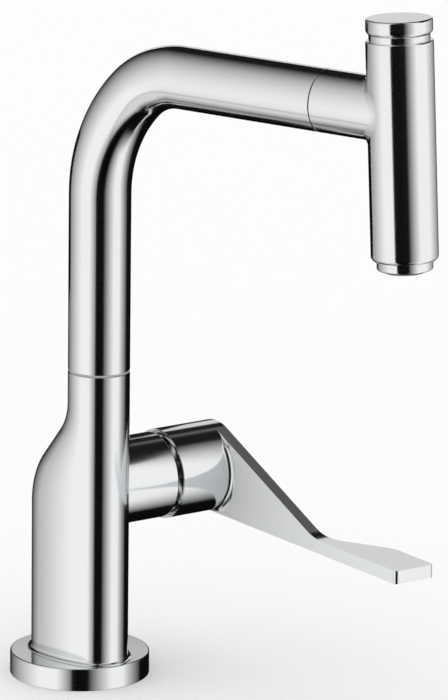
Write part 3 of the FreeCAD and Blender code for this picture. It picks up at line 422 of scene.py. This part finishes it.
# Grain of every finish: its detail and roughness, and the band of its values that turns to gloss
GRAIN_DETAIL = 3.0
GRAIN_ROUGHNESS = 0.55
GRAIN_BAND = (0.3, 0.7)


def finish_material(name, base, grain_mm, metallic=0.0, rough=(0.3, 0.4), bump=0.0, tint=None,
                    stretch=(1, 1, 1), **shader):
    """A surface whose colour, gloss and bump follow one grain of a real size."""
    material, tree = new_material(name)
    place = add_node(tree, "ShaderNodeTexCoord")
    turn = add_node(tree, "ShaderNodeMapping", {"Vector": place.outputs["Object"], "Scale": stretch})
    grain = add_node(tree, "ShaderNodeTexNoise", {
        "Vector": turn.outputs["Vector"], "Scale": 1 / (grain_mm * MM), "Detail": GRAIN_DETAIL,
        "Roughness": GRAIN_ROUGHNESS})
    gloss = add_node(tree, "ShaderNodeMapRange", {
        "Value": grain.outputs["Fac"], "From Min": GRAIN_BAND[0], "From Max": GRAIN_BAND[1],
        "To Min": rough[0], "To Max": rough[1]})
    links = {"Roughness": gloss.outputs["Result"], "Metallic": metallic, **shader}
    if tint:
        links["Base Color"] = mix_colours(tree, grain.outputs["Fac"], linear(base), linear(tint))
    else:
        links["Base Color"] = linear(base)
    if bump:
        relief = add_node(tree, "ShaderNodeBump", {
            "Height": grain.outputs["Fac"], "Strength": 1.0, "Distance": bump * MM})
        links["Normal"] = relief.outputs["Normal"]
    surface = add_node(tree, "ShaderNodeBsdfPrincipled", links)
    add_node(tree, "ShaderNodeOutputMaterial", {"Surface": surface.outputs["BSDF"]})
    return material


FINISHES = {
    # mirror chrome on polished brass: nearly white, with a faint haze left by the polishing wheel
    "chrome": dict(base="#F5F7F8", grain_mm=9, metallic=1.0, rough=(0.012, 0.03)),
    # the lever's chrome inner face, which the photograph shows an even pale grey: a guess that paints its
    # reflection of the bright studio as a mostly diffuse pale colour, and so no plain chrome
    "painted_reflection_chrome": dict(base="#EEF0F1", grain_mm=6, metallic=0.1, rough=(0.42, 0.5)),
    # moulded silicone-soft plastic of the nozzle insert: mid grey and satin
    "nozzle_grey": dict(base="#75797D", tint="#686C70", grain_mm=0.7, rough=(0.38, 0.52), bump=0.02),
    # moulded acetal slip ring: light grey and satin
    "seam_grey": dict(base="#9A9DA0", tint="#8C8F92", grain_mm=0.6, rough=(0.35, 0.5), bump=0.01),
    # moulded acetal: white and smooth
    "white_plastic": dict(base="#E9E9E4", tint="#DEDED8", grain_mm=0.8, rough=(0.3, 0.42), bump=0.01),
    # moulded glass-filled nylon: black with a dry grain
    "black_plastic": dict(base="#1B1C1E", tint="#26282A", grain_mm=0.5, rough=(0.42, 0.6), bump=0.02),
    # turned brass: warm yellow with fine tool marks
    "brass": dict(base="#C9A45B", tint="#B8924A", grain_mm=0.6, metallic=1.0, rough=(0.2, 0.36), bump=0.008),
    # bright zinc-plated steel: cool grey with a slight bloom
    "steel": dict(base="#B9BCC0", tint="#A4A8AD", grain_mm=1.2, metallic=1.0, rough=(0.22, 0.4), bump=0.006),
    # pressed nitrile rubber: dull black
    "black_rubber": dict(base="#151515", tint="#202020", grain_mm=0.4, rough=(0.7, 0.85), bump=0.03),
    # lapped alumina: cream white and smooth
    "ceramic": dict(base="#EFE9DC", tint="#E6DFD0", grain_mm=1.0, rough=(0.12, 0.2)),
    # braided nylon hose cover: grey, its braid about 1.5 mm wide
    "hose_grey": dict(base="#8D9196", tint="#5E6266", grain_mm=1.5, rough=(0.5, 0.7), bump=0.12),
}


def finish_of(slot):
    """The material for one of the record's slots, made when it is first asked for."""
    return bpy.data.materials.get(slot) or finish_material(slot, **FINISHES[slot])


class TAP_OT_flange(bpy.types.Operator):
    """Turn the round rosette that the tap stands on"""
    bl_idname = "tap.flange"
    bl_label = "Flange"

    def execute(self, context):
        size = context.scene.tap_body
        top = size.flange_height
        piece = turned("flange", ring(size.flange_bore, size.flange_radius, 0, top),
                       [(size.flange_radius, top, size.flange_edge),
                        (size.flange_radius, 0, size.flange_edge / 3)])
        dress(piece, "tap", "chrome", "base_flange")
        return {"FINISHED"}


def lean_rings(size, steps=12):
    """Rings over the shoulder and in the nape: each one's height and its share of the foot's full egg."""
    retreat = 2 * size.neck_offset
    sin, cos = math.sin(size.lean), math.cos(size.lean)
    shoulder_share = 1 - size.shoulder_radius * (1 - cos) / retreat
    nape_share = size.nape_radius * (1 - cos) / retreat
    climb = (shoulder_share - nape_share) * retreat * cos / sin
    nape = size.shoulder + (size.shoulder_radius + size.nape_radius) * sin + climb
    turns = [size.lean * step / steps for step in range(steps + 1)]
    shoulder = [(size.shoulder + size.shoulder_radius * math.sin(turn),
                 1 - size.shoulder_radius * (1 - math.cos(turn)) / retreat) for turn in turns]
    return shoulder + [(nape - size.nape_radius * math.sin(turn),
                        size.nape_radius * (1 - math.cos(turn)) / retreat) for turn in reversed(turns)]


def egg(size, height, share, grow=0):
    """Points of the body's section: a rear round, two long flanks and the neck's own round in front."""
    lead = size.rear_offset + size.neck_offset
    gain = size.rear_radius - size.tube_radius
    shift = (lead ** 2 - gain ** 2) / (2 * gain)
    points = []
    for step in range(ROUND):
        turn = 2 * math.pi * step / ROUND
        across, back = math.cos(turn), math.sin(turn)
        radius, middle = size.tube_radius, Vector((0, -size.neck_offset, height))
        if back >= -lead / (shift + gain):
            radius += gain * share
            middle.y += lead * share
            if back < 0:
                radius += shift * share
                middle.x -= math.copysign(shift * share, across)
        points.append(middle + Vector((across, back, 0)) * (radius + grow))
    return points


class TAP_OT_body(bpy.types.Operator):
    """Raise the egg-shaped body, draw its back in to the round neck and hollow it out"""
    bl_idname = "tap.body"
    bl_label = "Body"

    def execute(self, context):
        size = context.scene.tap_body
        wall_foot = size.flange_height + size.lip
        rings = [(size.flange_height, 1, size.flare)]
        steps = 6
        for step in range(steps + 1):
            turn = QUARTER * step / steps
            rings.append((wall_foot + size.flare * (1 - math.cos(turn)), 1,
                          size.flare * (1 - math.sin(turn))))
        rings += [(height, share, 0) for height, share in lean_rings(size)]
        rings.append((size.neck_top, 0, 0))
        piece = start("mixer_casting", ROUND, size.tube_radius)
        number_points()
        bpy.ops.mesh.select_all(action="SELECT")
        put(egg(size, *rings[0]))
        for ring_place in rings[1:]:
            draw_out((0, 0, 0))
            put(egg(size, *ring_place))
        face_outwards(piece)
        bpy.ops.object.mode_set(mode="OBJECT")
        forget_numbers(piece)
        add_modifier(piece, "SOLIDIFY", thickness=size.wall, offset=-1)
        bpy.ops.object.mode_set(mode="EDIT")
        pick(lambda co: near(co.z, size.neck_top)
             and math.hypot(co.x, co.y + size.neck_offset) > size.tube_radius - size.wall / 2)
        bpy.ops.mesh.bevel(offset=size.neck_edge, segments=EDGE_STEPS, affect="EDGES")
        bpy.ops.object.mode_set(mode="OBJECT")
        settle(piece)
        dress(piece, "tap", "chrome", "mixer_body")
        return {"FINISHED"}


class TAP_OT_boss(bpy.types.Operator):
    """Turn the side boss that holds the cartridge"""
    bl_idname = "tap.boss"
    bl_label = "Boss"

    def execute(self, context):
        size = context.scene.tap_body
        outline = ring(size.boss_bore, size.boss_radius, size.boss_foot, size.boss_end)
        bevels = [(radius, size.boss_end, size.boss_edge) for radius in (size.boss_radius, size.boss_bore)]
        piece = turned("cartridge_boss", outline, bevels, hub_place(size))
        dress(piece, "tap", "chrome")
        return {"FINISHED"}


def lever_top(size):
    """Upper line of the lever's arm as (Y, Z) about the hub's axis: slope, hollow bend and paddle."""
    radius, slope = size.hub_radius, size.slope
    back, top = -radius * math.sin(slope), radius * math.cos(slope)
    paddle = size.paddle - radius
    corner = back - (top - paddle) / math.tan(slope)
    tangent = size.sweep * math.tan(slope / 2)
    line = [(back, top)]
    steps = 12
    for step in range(steps + 1):
        turn = slope * (1 - step / steps)
        line.append((corner - tangent + size.sweep * math.sin(turn),
                     paddle + size.sweep * (1 - math.cos(turn))))
    return line


def height_at(line, back, low):
    """Height of the upper line at a place along the arm."""
    for (y0, z0), (y1, z1) in zip(line, line[1:]):
        if y1 <= back <= y0:
            return z0 + (z1 - z0) * (back - y0) / (y1 - y0)
    return low


def swing(size):
    """Outer side of the lever as (Y, X): straight, then two bends out to the paddle's end."""
    outer = size.inner + size.thickness
    end = size.inner + size.width
    rise = 1 - math.cos(size.turn)
    first = (size.paddle_start + size.inner_bend * math.sin(size.turn), outer + size.inner_bend * rise)
    last_out = end - size.outer_bend * rise
    last = (first[0] + (last_out - first[1]) / math.tan(size.turn), last_out)
    finish = last[0] + size.outer_bend * math.sin(size.turn)
    line = []
    steps = 10
    for step in range(steps + 1):
        turn = size.turn * step / steps
        line.append((-size.paddle_start - size.inner_bend * math.sin(turn),
                     outer + size.inner_bend * (1 - math.cos(turn))))
    for step in range(steps + 1):
        turn = size.turn * (1 - step / steps)
        line.append((-finish + size.outer_bend * math.sin(turn),
                     end - size.outer_bend * (1 - math.cos(turn))))
    return line


class TAP_OT_lever(bpy.types.Operator):
    """Model the lever in one piece: hollow hub, flat arm and widening paddle"""
    bl_idname = "tap.lever"
    bl_label = "Lever"

    def execute(self, context):
        size = context.scene.tap_lever
        radius, outer = size.hub_radius, size.inner + size.thickness
        top_line, outer_line = lever_top(size), swing(size)
        low, tip = -radius, -size.reach
        paddle = size.paddle - radius
        stations = sorted({y for y, z in top_line} | {y for y, x in outer_line}, reverse=True)
        kept = stations[:1]
        least_step = 10 * TOUCH
        for station in stations[1:]:
            if kept[-1] - station > least_step:
                kept.append(station)
        stations = kept + [tip]
        front_top = [(y, height_at(top_line, y, paddle)) for y in stations]
        front_low = [(y, low) for y in reversed(stations)] + [(0, low)]
        first = math.atan2(front_top[0][1], front_top[0][0])
        count = ROUND
        back_count = round(count * (first + math.pi / 2) / (2 * math.pi))
        back = [-math.pi / 2 + (first + math.pi / 2) * step / back_count for step in range(back_count + 1)]
        front_count = count - back_count
        front = [first + (3 * math.pi / 2 - first) * step / front_count for step in range(1, front_count)]
        turns = back + front

        least = 0.01

        def reach_at(turn):
            """How far the arm's outline lies beyond the hub's circle in that direction."""
            if turn <= first:
                return 0
            cosine = max(math.cos(turn - first), least)
            below = max(-math.sin(turn), least)
            return min(radius / cosine, radius / below if turn > math.pi else 1) - radius

        def hub_ring(x, grow):
            return [Vector((x(turn), (radius + grow(turn)) * math.cos(turn),
                            (radius + grow(turn)) * math.sin(turn))) for turn in turns]

        piece = start("lever_casting", count, size.cup_radius)
        number_points()
        bpy.ops.mesh.select_all(action="SELECT")
        bpy.ops.mesh.select_mode(type="VERT")
        put([Vector((size.cup_floor, size.cup_radius * math.cos(t), size.cup_radius * math.sin(t)))
             for t in turns])
        for x, grown in ((size.hub_start, size.cup_radius - radius), (size.hub_start, 0)):
            draw_out((0, 0, 0))
            put(hub_ring(lambda turn: x, lambda turn: grown))
        room = 0.9
        hollow = {turn: min(size.hollow, room * reach_at(turn)) for turn in turns}
        steps = 8
        for step in range(steps + 1):
            part = QUARTER * step / steps
            draw_out((0, 0, 0))
            put(hub_ring(lambda turn: size.inner - hollow[turn] * (1 - math.sin(part)),
                         lambda turn: hollow[turn] * (1 - math.cos(part))))
        bpy.ops.object.mode_set(mode="OBJECT")
        plate = self.plate(size, [(radius * math.cos(t), radius * math.sin(t)) for t in back],
                           front_top[1:], front_low[:-1], outer_line, outer)
        piece.select_set(True)
        plate.select_set(True)
        bpy.context.view_layer.objects.active = piece
        bpy.ops.object.join()
        bpy.ops.object.mode_set(mode="EDIT")
        close_up(piece)
        bpy.ops.object.mode_set(mode="EDIT")
        corner_steps = 6
        for side in (size.inner, size.inner + size.width):
            pick(lambda co: near(co.y, -size.reach) and near(co.x, side))
            bpy.ops.mesh.bevel(offset=size.corner, segments=corner_steps, affect="EDGES")
        bpy.ops.object.mode_set(mode="OBJECT")
        lift = Matrix.Translation((0, 0, context.scene.tap_body.hub_height))
        settle(piece, lift, size.edge)
        dress(piece, "lever", "chrome", "lever_handle")
        # the inner face takes the painted reflection: a pale, mostly diffuse colour in place of the chrome's
        # own reflection
        piece.data.materials.append(finish_of("painted_reflection_chrome"))
        for face in piece.data.polygons:
            if face.normal.x < -FLAT and near(face.center.x, size.inner):
                face.material_index = 1
        return {"FINISHED"}

    def plate(self, size, back, front_top, front_low, outer_line, outer):
        """The flat arm: its outline is drawn out, its outer side moved out and its broad side bridged."""
        outline = back + front_top + front_low
        plate = start("lever_plate", len(outline), size.hub_radius)
        number_points()
        bpy.ops.mesh.select_all(action="SELECT")
        put([Vector((size.inner, y, z)) for y, z in outline])
        draw_out((size.thickness, 0, 0))

        def out_at(y):
            for (y0, x0), (y1, x1) in zip(outer_line, outer_line[1:]):
                if y1 - TOUCH <= y <= y0:
                    return x0 + (x1 - x0) * (y - y0) / (y1 - y0)
            return outer if y > outer_line[0][0] else outer_line[-1][1]

        put([Vector((out_at(y), y, z)) for y, z in outline])
        start_at = front_top[0][0]
        pick(lambda co: co.x > size.inner + TOUCH and -size.reach - TOUCH < co.y < start_at + TOUCH)
        mesh = bmesh.from_edit_mesh(plate.data)
        for edge in mesh.edges:
            if edge.select and all(near(vert.co.y, -size.reach) for vert in edge.verts):
                edge.select_set(False)
        bmesh.update_edit_mesh(plate.data)
        bpy.ops.mesh.bridge_edge_loops()
        bpy.ops.object.mode_set(mode="OBJECT")
        return plate


class TAP_OT_spout(bpy.types.Operator):
    """Draw the spout's tube up the riser, round the two-radius bend and out along the arm"""
    bl_idname = "tap.spout"
    bl_label = "Spout"

    def execute(self, context):
        scene = context.scene
        size, radius = scene.tap_spout, scene.tap_body.tube_radius
        half = math.radians(45)
        sin = math.sin(half)
        bend_foot = size.arm_height - size.arm_bend - (size.riser_bend - size.arm_bend) * sin
        piece = start("spout_pipe", ROUND, radius, (0, 0, size.foot))
        draw_out((0, 0, bend_foot - size.foot))
        middle = (-size.riser_bend * (1 - math.cos(half)), bend_foot + size.riser_bend * sin)
        centres = ((-size.riser_bend, bend_foot, size.riser_steps),
                   (middle[0] - size.arm_bend * math.cos(half), middle[1] - size.arm_bend * sin,
                    size.arm_steps))
        for y, z, steps in centres:
            bpy.ops.mesh.spin(steps=steps, angle=half, center=(0, y, z), axis=(-1, 0, 0))
        bend_end = centres[1][0]
        draw_out((0, -size.arm_end - bend_end, 0))
        bpy.ops.mesh.select_all(action="SELECT")
        bpy.ops.mesh.remove_doubles(threshold=MERGE)
        face_outwards(piece)
        bpy.ops.object.mode_set(mode="OBJECT")
        add_modifier(piece, "SOLIDIFY", thickness=size.wall, offset=-1)
        settle(piece, spout_place(scene), size.edge)
        dress(piece, "spout", "chrome", "spout_tube")
        return {"FINISHED"}


class TAP_OT_head(bpy.types.Operator):
    """Turn the spray head's casing and run its docking sleeve into it"""
    bl_idname = "tap.head"
    bl_label = "Spray head"

    def execute(self, context):
        scene = context.scene
        size = scene.tap_head
        casing = turned("head_casing", ring(size.bore, size.radius, -size.foot, size.top),
                        [(size.radius, size.top, size.top_edge), (size.radius, -size.foot, size.foot_edge)],
                        head_place(scene))
        dress(casing, "spray_head", "chrome", "head_shell")
        self.sleeve(scene)
        return {"FINISHED"}

    def sleeve(self, scene):
        """The sleeve, whose foot is blended over the casing. Its axis is the arm's own."""
        size, radius = scene.tap_head, scene.tap_body.tube_radius
        start_at = scene.tap_spout.arm_end + size.seam
        sin, cos = math.sin(size.lean), math.cos(size.lean)
        tilt = Matrix.Rotation(-size.lean, 3, "X")

        def on_head(swing, height):
            """A point of the casing's surface, about the crossing of the axes, with the riser at +Y."""
            local = Vector((size.radius * math.sin(swing), size.radius * math.cos(swing), height))
            return tilt @ local

        def seam(turn):
            """Swing and height on the casing where the sleeve's line at that turn meets it."""
            x, z = radius * math.cos(turn), radius * math.sin(turn)
            across = math.sqrt(size.radius ** 2 - x ** 2)
            back = (across + z * sin) / cos
            local = tilt.inverted() @ Vector((x, back, z))
            return math.atan2(local.x, local.y), local.z, back

        turns = [2 * math.pi * (step + 0.5) / ROUND for step in range(ROUND)]
        spots = [seam(turn) for turn in turns]
        piece = start("docking_sleeve", ROUND, radius)
        number_points()
        bpy.ops.mesh.select_all(action="SELECT")
        lead = size.reach - start_at

        def sleeve_ring(width, back):
            return [Vector((width * math.cos(turn), back(index), width * math.sin(turn)))
                    for index, turn in enumerate(turns)]

        put(sleeve_ring(size.sleeve_bore, lambda index: size.radius))
        draw_out((0, 0, 0))
        put(sleeve_ring(size.sleeve_bore, lambda index: lead))
        draw_out((0, 0, 0))
        put(sleeve_ring(radius, lambda index: lead))
        steps = 10
        for step in range(steps + 1):
            part = step / steps
            points = []
            for index, turn in enumerate(turns):
                swing, height, back = spots[index]
                before = spots[index - 1]
                after = spots[(index + 1) % ROUND]
                along = Vector(((after[0] - before[0]) * size.radius, after[1] - before[1])).normalized()
                away = Vector((along.y, -along.x))
                if away.dot(Vector((swing * size.radius, height))) < 0:
                    away = -away
                line = Vector((radius * math.cos(turn), back + size.blend, radius * math.sin(turn)))
                corner = on_head(swing, height)
                foot = on_head(swing + away.x * size.blend / size.radius, height + away.y * size.blend)
                foot -= (foot - tilt @ Vector((0, 0, height))).normalized() * size.sink * part
                points.append(line * (1 - part) ** 2 + corner * 2 * part * (1 - part) + foot * part ** 2)
            draw_out((0, 0, 0))
            put(points)
        draw_out((0, 0, 0))
        put(sleeve_ring(size.sleeve_bore, lambda index: size.radius))
        close_up(piece)
        out = Matrix.Translation((0, -size.reach, scene.tap_spout.arm_height))
        settle(piece, spout_place(scene) @ out)
        dress(piece, "spray_head", "chrome")


class TAP_OT_button(bpy.types.Operator):
    """Turn the push button's cap and its neck"""
    bl_idname = "tap.button"
    bl_label = "Push button"

    def execute(self, context):
        scene = context.scene
        size = scene.tap_head
        radius, foot, top = size.button_radius, size.button_foot, size.button_top
        slant = size.button_chamfer
        cap = turned("button_top", [(radius - slant, foot), (radius, foot + slant), (radius, top),
                                    (radius / 2, top)],
                     [(radius, top, size.button_edge), (radius, foot + slant, slant / 2)], head_place(scene))
        dress(cap, "push_button", "chrome", "button_cap")
        neck = turned("button_neck", ring(size.skirt_radius - size.skirt_wall, size.skirt_radius,
                                          size.skirt_foot, foot), (), head_place(scene))
        dress(neck, "push_button", "chrome", "button_skirt")
        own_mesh(frame["nodes"]["button_spring"])
        return {"FINISHED"}


class TAP_OT_outlet(bpy.types.Operator):
    """Turn the ring at the outlet, round the grey insert"""
    bl_idname = "tap.outlet"
    bl_label = "Outlet"

    def execute(self, context):
        scene = context.scene
        size = scene.tap_head
        foot = -size.ring_foot
        outlet = turned("outlet_ring", ring(size.nozzle_radius + size.ring_gap, size.ring_radius, foot,
                                            -size.ring_top),
                        [(size.ring_radius, foot, size.ring_edge)], head_place(scene))
        dress(outlet, "spray_head", "chrome", "aerator_housing")
        return {"FINISHED"}


class TAP_OT_fittings(bpy.types.Operator):
    """Give the fittings inside and under the tap the finish of their slots"""
    bl_idname = "tap.fittings"
    bl_label = "Fittings"

    def execute(self, context):
        slots = {part["node"]: part["material_slot"] for part in frame["record"]["subparts"]}
        for name, node in frame["nodes"].items():
            if node.hide_render:
                continue
            node.data.materials.clear()
            node.data.materials.append(finish_of(slots[name]))
        return {"FINISHED"}


# The studio's lights as the chrome sees them: where each one stands, in degrees round the tap from
# straight behind it and above the horizon (where it starts, where it is full, where it stops being
# full and where it ends), and its brightness
LIGHTS = (
    # white wall on the camera's left, which fades away from the camera
    dict(across=(-174, -143, -112, -20), up=(-50, -36, -15, 200), level=1),
    # its foot, which ends nearer to the camera
    dict(across=(-174, -150, -88, -54), up=(-80, -62, -44, -30), level=0.75),
    # high card that the lever's slope sees
    dict(across=(14, 18, 28, 32), up=(42, 45, 49, 52), level=0.12),
    # white wall on the camera's right
    dict(across=(96, 104, 124, 165), up=(-66, -47, 60, 200), level=0.98),
)
# Cards round the tap, which only its reflections see: both upright edges, as millimetres right of the tap
# and behind it, the heights of foot and top, and the tone. A black card's upright edges are soft. A pale
# card's glow may fade over a share of its width, from its first edge, or of its height, from its foot.
CARDS = {
    # black screen round the camera
    "camera_screen": dict(start=(-114, -503), end=(158, -503), up=(-1800, 2200), fade=0.06),
    # white card on the right, whose first edge stands behind the tap
    "right_card": dict(start=(227, 92), end=(602, -324), up=(-450, 400), fade=0.46, glow=0.98),
    # grey card far behind, which the upward faces see, and the rosette's top only where it fades
    "back_card": dict(start=(-150, 850), end=(400, 850), up=(200, 585), rise=0.24, glow=0.72),
    # black card behind on the left, which draws the spray head's left edge
    "head_screen": dict(start=(46, 285), end=(-239, 213), up=(115, 250), fade=0.02),
}


# Half of a card's side before it is scaled, and so in its own coordinates
CARD_HALF = 0.5


class TAP_OT_stage(bpy.types.Operator):
    """Set the floor, the studio's light and the camera"""
    bl_idname = "tap.stage"
    bl_label = "Stage"

    def execute(self, context):
        scene = context.scene
        scene.view_settings.view_transform = "Standard"
        self.camera(scene)
        self.world(scene)
        self.floor(scene)
        for name, card in CARDS.items():
            self.card(scene, name, **card)
        return {"FINISHED"}

    def camera(self, scene):
        """A long lens from the front left, as far away as the photograph's perspective asks."""
        studio = scene.tap_studio
        data = bpy.data.cameras.new("camera")
        data.lens = studio.lens
        data.sensor_width = studio.sensor
        data.clip_end = studio.sight
        camera = bpy.data.objects.new("camera", data)
        scene.collection.objects.link(camera)
        spot = Matrix.Translation(studio.camera_place)
        pan = Matrix.Rotation(-studio.turn, 4, "Z")
        tilt = Matrix.Rotation(math.radians(90) - studio.pitch, 4, "X")
        camera.matrix_world = spot @ pan @ tilt @ Matrix.Rotation(studio.roll, 4, "Z")
        scene.camera = camera

    def world(self, scene):
        """White for the eye and for dull surfaces, and walls and cards of light for the chrome."""
        studio = scene.tap_studio
        world = bpy.data.worlds.new("studio")
        scene.world = world
        world.use_nodes = True
        tree = world.node_tree
        tree.nodes.clear()

        def math_node(operation, first, second=0.0):
            node = add_node(tree, "ShaderNodeMath", operation=operation)
            for socket, source in zip(node.inputs, (first, second)):
                if isinstance(source, bpy.types.NodeSocket):
                    tree.links.new(source, socket)
                else:
                    socket.default_value = source
            return node.outputs["Value"]

        def slope(source, dark, light):
            node = add_node(tree, "ShaderNodeMapRange", {
                "Value": source, "From Min": dark, "From Max": light})
            return node.outputs["Result"]

        ray = add_node(tree, "ShaderNodeTexCoord")
        turned_ray = add_node(tree, "ShaderNodeMapping", {
            "Vector": ray.outputs["Generated"], "Rotation": (0, 0, studio.turn)})
        parts = add_node(tree, "ShaderNodeSeparateXYZ", {"Vector": turned_ray.outputs["Vector"]})
        around = math_node("DEGREES", math_node("ARCTAN2", parts.outputs["X"], parts.outputs["Y"]))
        above = math_node("DEGREES", math_node("ARCSINE", parts.outputs["Z"]))
        total = 0.0
        for light in LIGHTS:
            glow = light["level"]
            for source, (first, full, fading, last) in ((around, light["across"]), (above, light["up"])):
                glow = math_node("MULTIPLY", glow, slope(source, first, full))
                glow = math_node("MULTIPLY", glow, slope(source, last, fading))
            total = math_node("MAXIMUM", total, glow)
        shown = mix_colours(tree, total, studio.dark, studio.background)
        cards = add_node(tree, "ShaderNodeBackground", {"Color": shown, "Strength": 1.0})
        plain = add_node(tree, "ShaderNodeBackground", {"Color": studio.background, "Strength": 1.0})
        path = add_node(tree, "ShaderNodeLightPath")
        sky = add_node(tree, "ShaderNodeMixShader", {"Fac": path.outputs["Is Glossy Ray"]})
        tree.links.new(plain.outputs["Background"], sky.inputs[1])
        tree.links.new(cards.outputs["Background"], sky.inputs[2])
        add_node(tree, "ShaderNodeOutputWorld", {"Surface": sky.outputs["Shader"]})

    def floor(self, scene):
        """The pale worktop, which takes the tap's soft shadow."""
        bpy.ops.object.select_all(action="DESELECT")
        bpy.ops.mesh.primitive_plane_add(size=scene.tap_studio.floor_size, location=(0, 0, 0))
        floor = bpy.context.object
        floor.name = "floor"
        floor.visible_glossy = False
        material, tree = new_material("white_worktop")
        surface = add_node(tree, "ShaderNodeBsdfDiffuse", {"Color": scene.tap_studio.worktop})
        add_node(tree, "ShaderNodeOutputMaterial", {"Surface": surface.outputs["BSDF"]})
        floor.data.materials.append(material)

    def card(self, scene, name, start, end, up, **tone):
        """A tall card that only reflections see."""
        studio = scene.tap_studio
        bpy.ops.object.select_all(action="DESELECT")
        bpy.ops.mesh.primitive_plane_add(size=2 * CARD_HALF)
        card = bpy.context.object
        card.name = name
        card.data.name = name
        first, last = Vector(start) * MM, Vector(end) * MM
        middle, width = (first + last) / 2, last - first
        foot, top = up[0] * MM, up[1] * MM
        turn = Matrix.Rotation(math.atan2(width.y, width.x), 4, "Z") @ Matrix.Rotation(QUARTER, 4, "X")
        spot = Matrix.Translation((middle.x, middle.y, (foot + top) / 2))
        size = Matrix.Diagonal((width.length, top - foot, 1, 1))
        card.matrix_world = Matrix.Rotation(-studio.turn, 4, "Z") @ spot @ turn @ size
        card.visible_camera = False
        card.visible_diffuse = False
        card.visible_shadow = False
        card.visible_transmission = False
        make = self.paper if "glow" in tone else self.felt
        card.data.materials.append(make(scene, name, **tone))

    def paper(self, scene, name, glow, fade=0, rise=0):
        """Pale card, in shade at its first upright edge or at its foot."""
        shade = 0.05
        material, tree = new_material(name + "_paper")
        place = add_node(tree, "ShaderNodeTexCoord")
        parts = add_node(tree, "ShaderNodeSeparateXYZ", {"Vector": place.outputs["Object"]})
        light = glow
        for side, share, darkest in (("X", fade, shade * glow), ("Y", rise, 0)):
            if share:
                lit = add_node(tree, "ShaderNodeMapRange", {
                    "Value": parts.outputs[side], "From Min": -CARD_HALF, "From Max": share - CARD_HALF,
                    "To Min": darkest, "To Max": light})
                light = lit.outputs["Result"]
        white = scene.tap_studio.background
        paper = add_node(tree, "ShaderNodeEmission", {"Color": white, "Strength": light})
        add_node(tree, "ShaderNodeOutputMaterial", {"Surface": paper.outputs["Emission"]})
        return material

    def felt(self, scene, name, fade):
        """Black felt, thinned out towards the card's two upright edges."""
        material, tree = new_material(name + "_felt")
        place = add_node(tree, "ShaderNodeTexCoord")
        parts = add_node(tree, "ShaderNodeSeparateXYZ", {"Vector": place.outputs["Object"]})
        off = add_node(tree, "ShaderNodeMath", operation="ABSOLUTE")
        tree.links.new(parts.outputs["X"], off.inputs[0])
        thin = add_node(tree, "ShaderNodeMapRange", {
            "Value": off.outputs["Value"], "From Min": CARD_HALF - fade, "From Max": CARD_HALF})
        felt = add_node(tree, "ShaderNodeEmission", {"Color": scene.tap_studio.felt, "Strength": 1.0})
        gap = add_node(tree, "ShaderNodeBsdfTransparent")
        blend = add_node(tree, "ShaderNodeMixShader", {"Fac": thin.outputs["Result"]})
        tree.links.new(felt.outputs["Emission"], blend.inputs[1])
        tree.links.new(gap.outputs["BSDF"], blend.inputs[2])
        add_node(tree, "ShaderNodeOutputMaterial", {"Surface": blend.outputs["Shader"]})
        return material


class VIEW3D_PT_tap(bpy.types.Panel):
    """Lists the tap's sizes and the steps that model it"""
    bl_label = "Pull-out mixer tap"
    bl_space_type = "VIEW_3D"
    bl_region_type = "UI"
    bl_category = "Tap"

    def draw(self, context):
        layout = self.layout
        for step in STEPS:
            layout.operator(step.bl_idname)
        for name, group in GROUPS.items():
            box = layout.box()
            box.label(text=group.bl_rna.name)
            for key in group.__annotations__:
                box.prop(getattr(context.scene, name), key)


STEPS = (
    TAP_OT_flange, TAP_OT_body, TAP_OT_boss, TAP_OT_lever, TAP_OT_spout, TAP_OT_head,
    TAP_OT_button, TAP_OT_outlet, TAP_OT_fittings, TAP_OT_stage,
)
GROUPS = {
    "tap_body": TapBodySizes,
    "tap_lever": TapLeverSizes,
    "tap_spout": TapSpoutSizes,
    "tap_head": TapHeadSizes,
    "tap_studio": TapStudio,
}


def register():
    for kind in (*GROUPS.values(), *STEPS, VIEW3D_PT_tap):
        bpy.utils.register_class(kind)
    for name, group in GROUPS.items():
        setattr(bpy.types.Scene, name, bpy.props.PointerProperty(type=group))


def unregister():
    for name in GROUPS:
        delattr(bpy.types.Scene, name)
    for kind in reversed((*GROUPS.values(), *STEPS, VIEW3D_PT_tap)):
        bpy.utils.unregister_class(kind)


def main():
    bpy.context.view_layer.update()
    register()
    for step in STEPS:
        group, name = step.bl_idname.split(".")
        getattr(getattr(bpy.ops, group), name)()


if __name__ == "__main__":
    main()
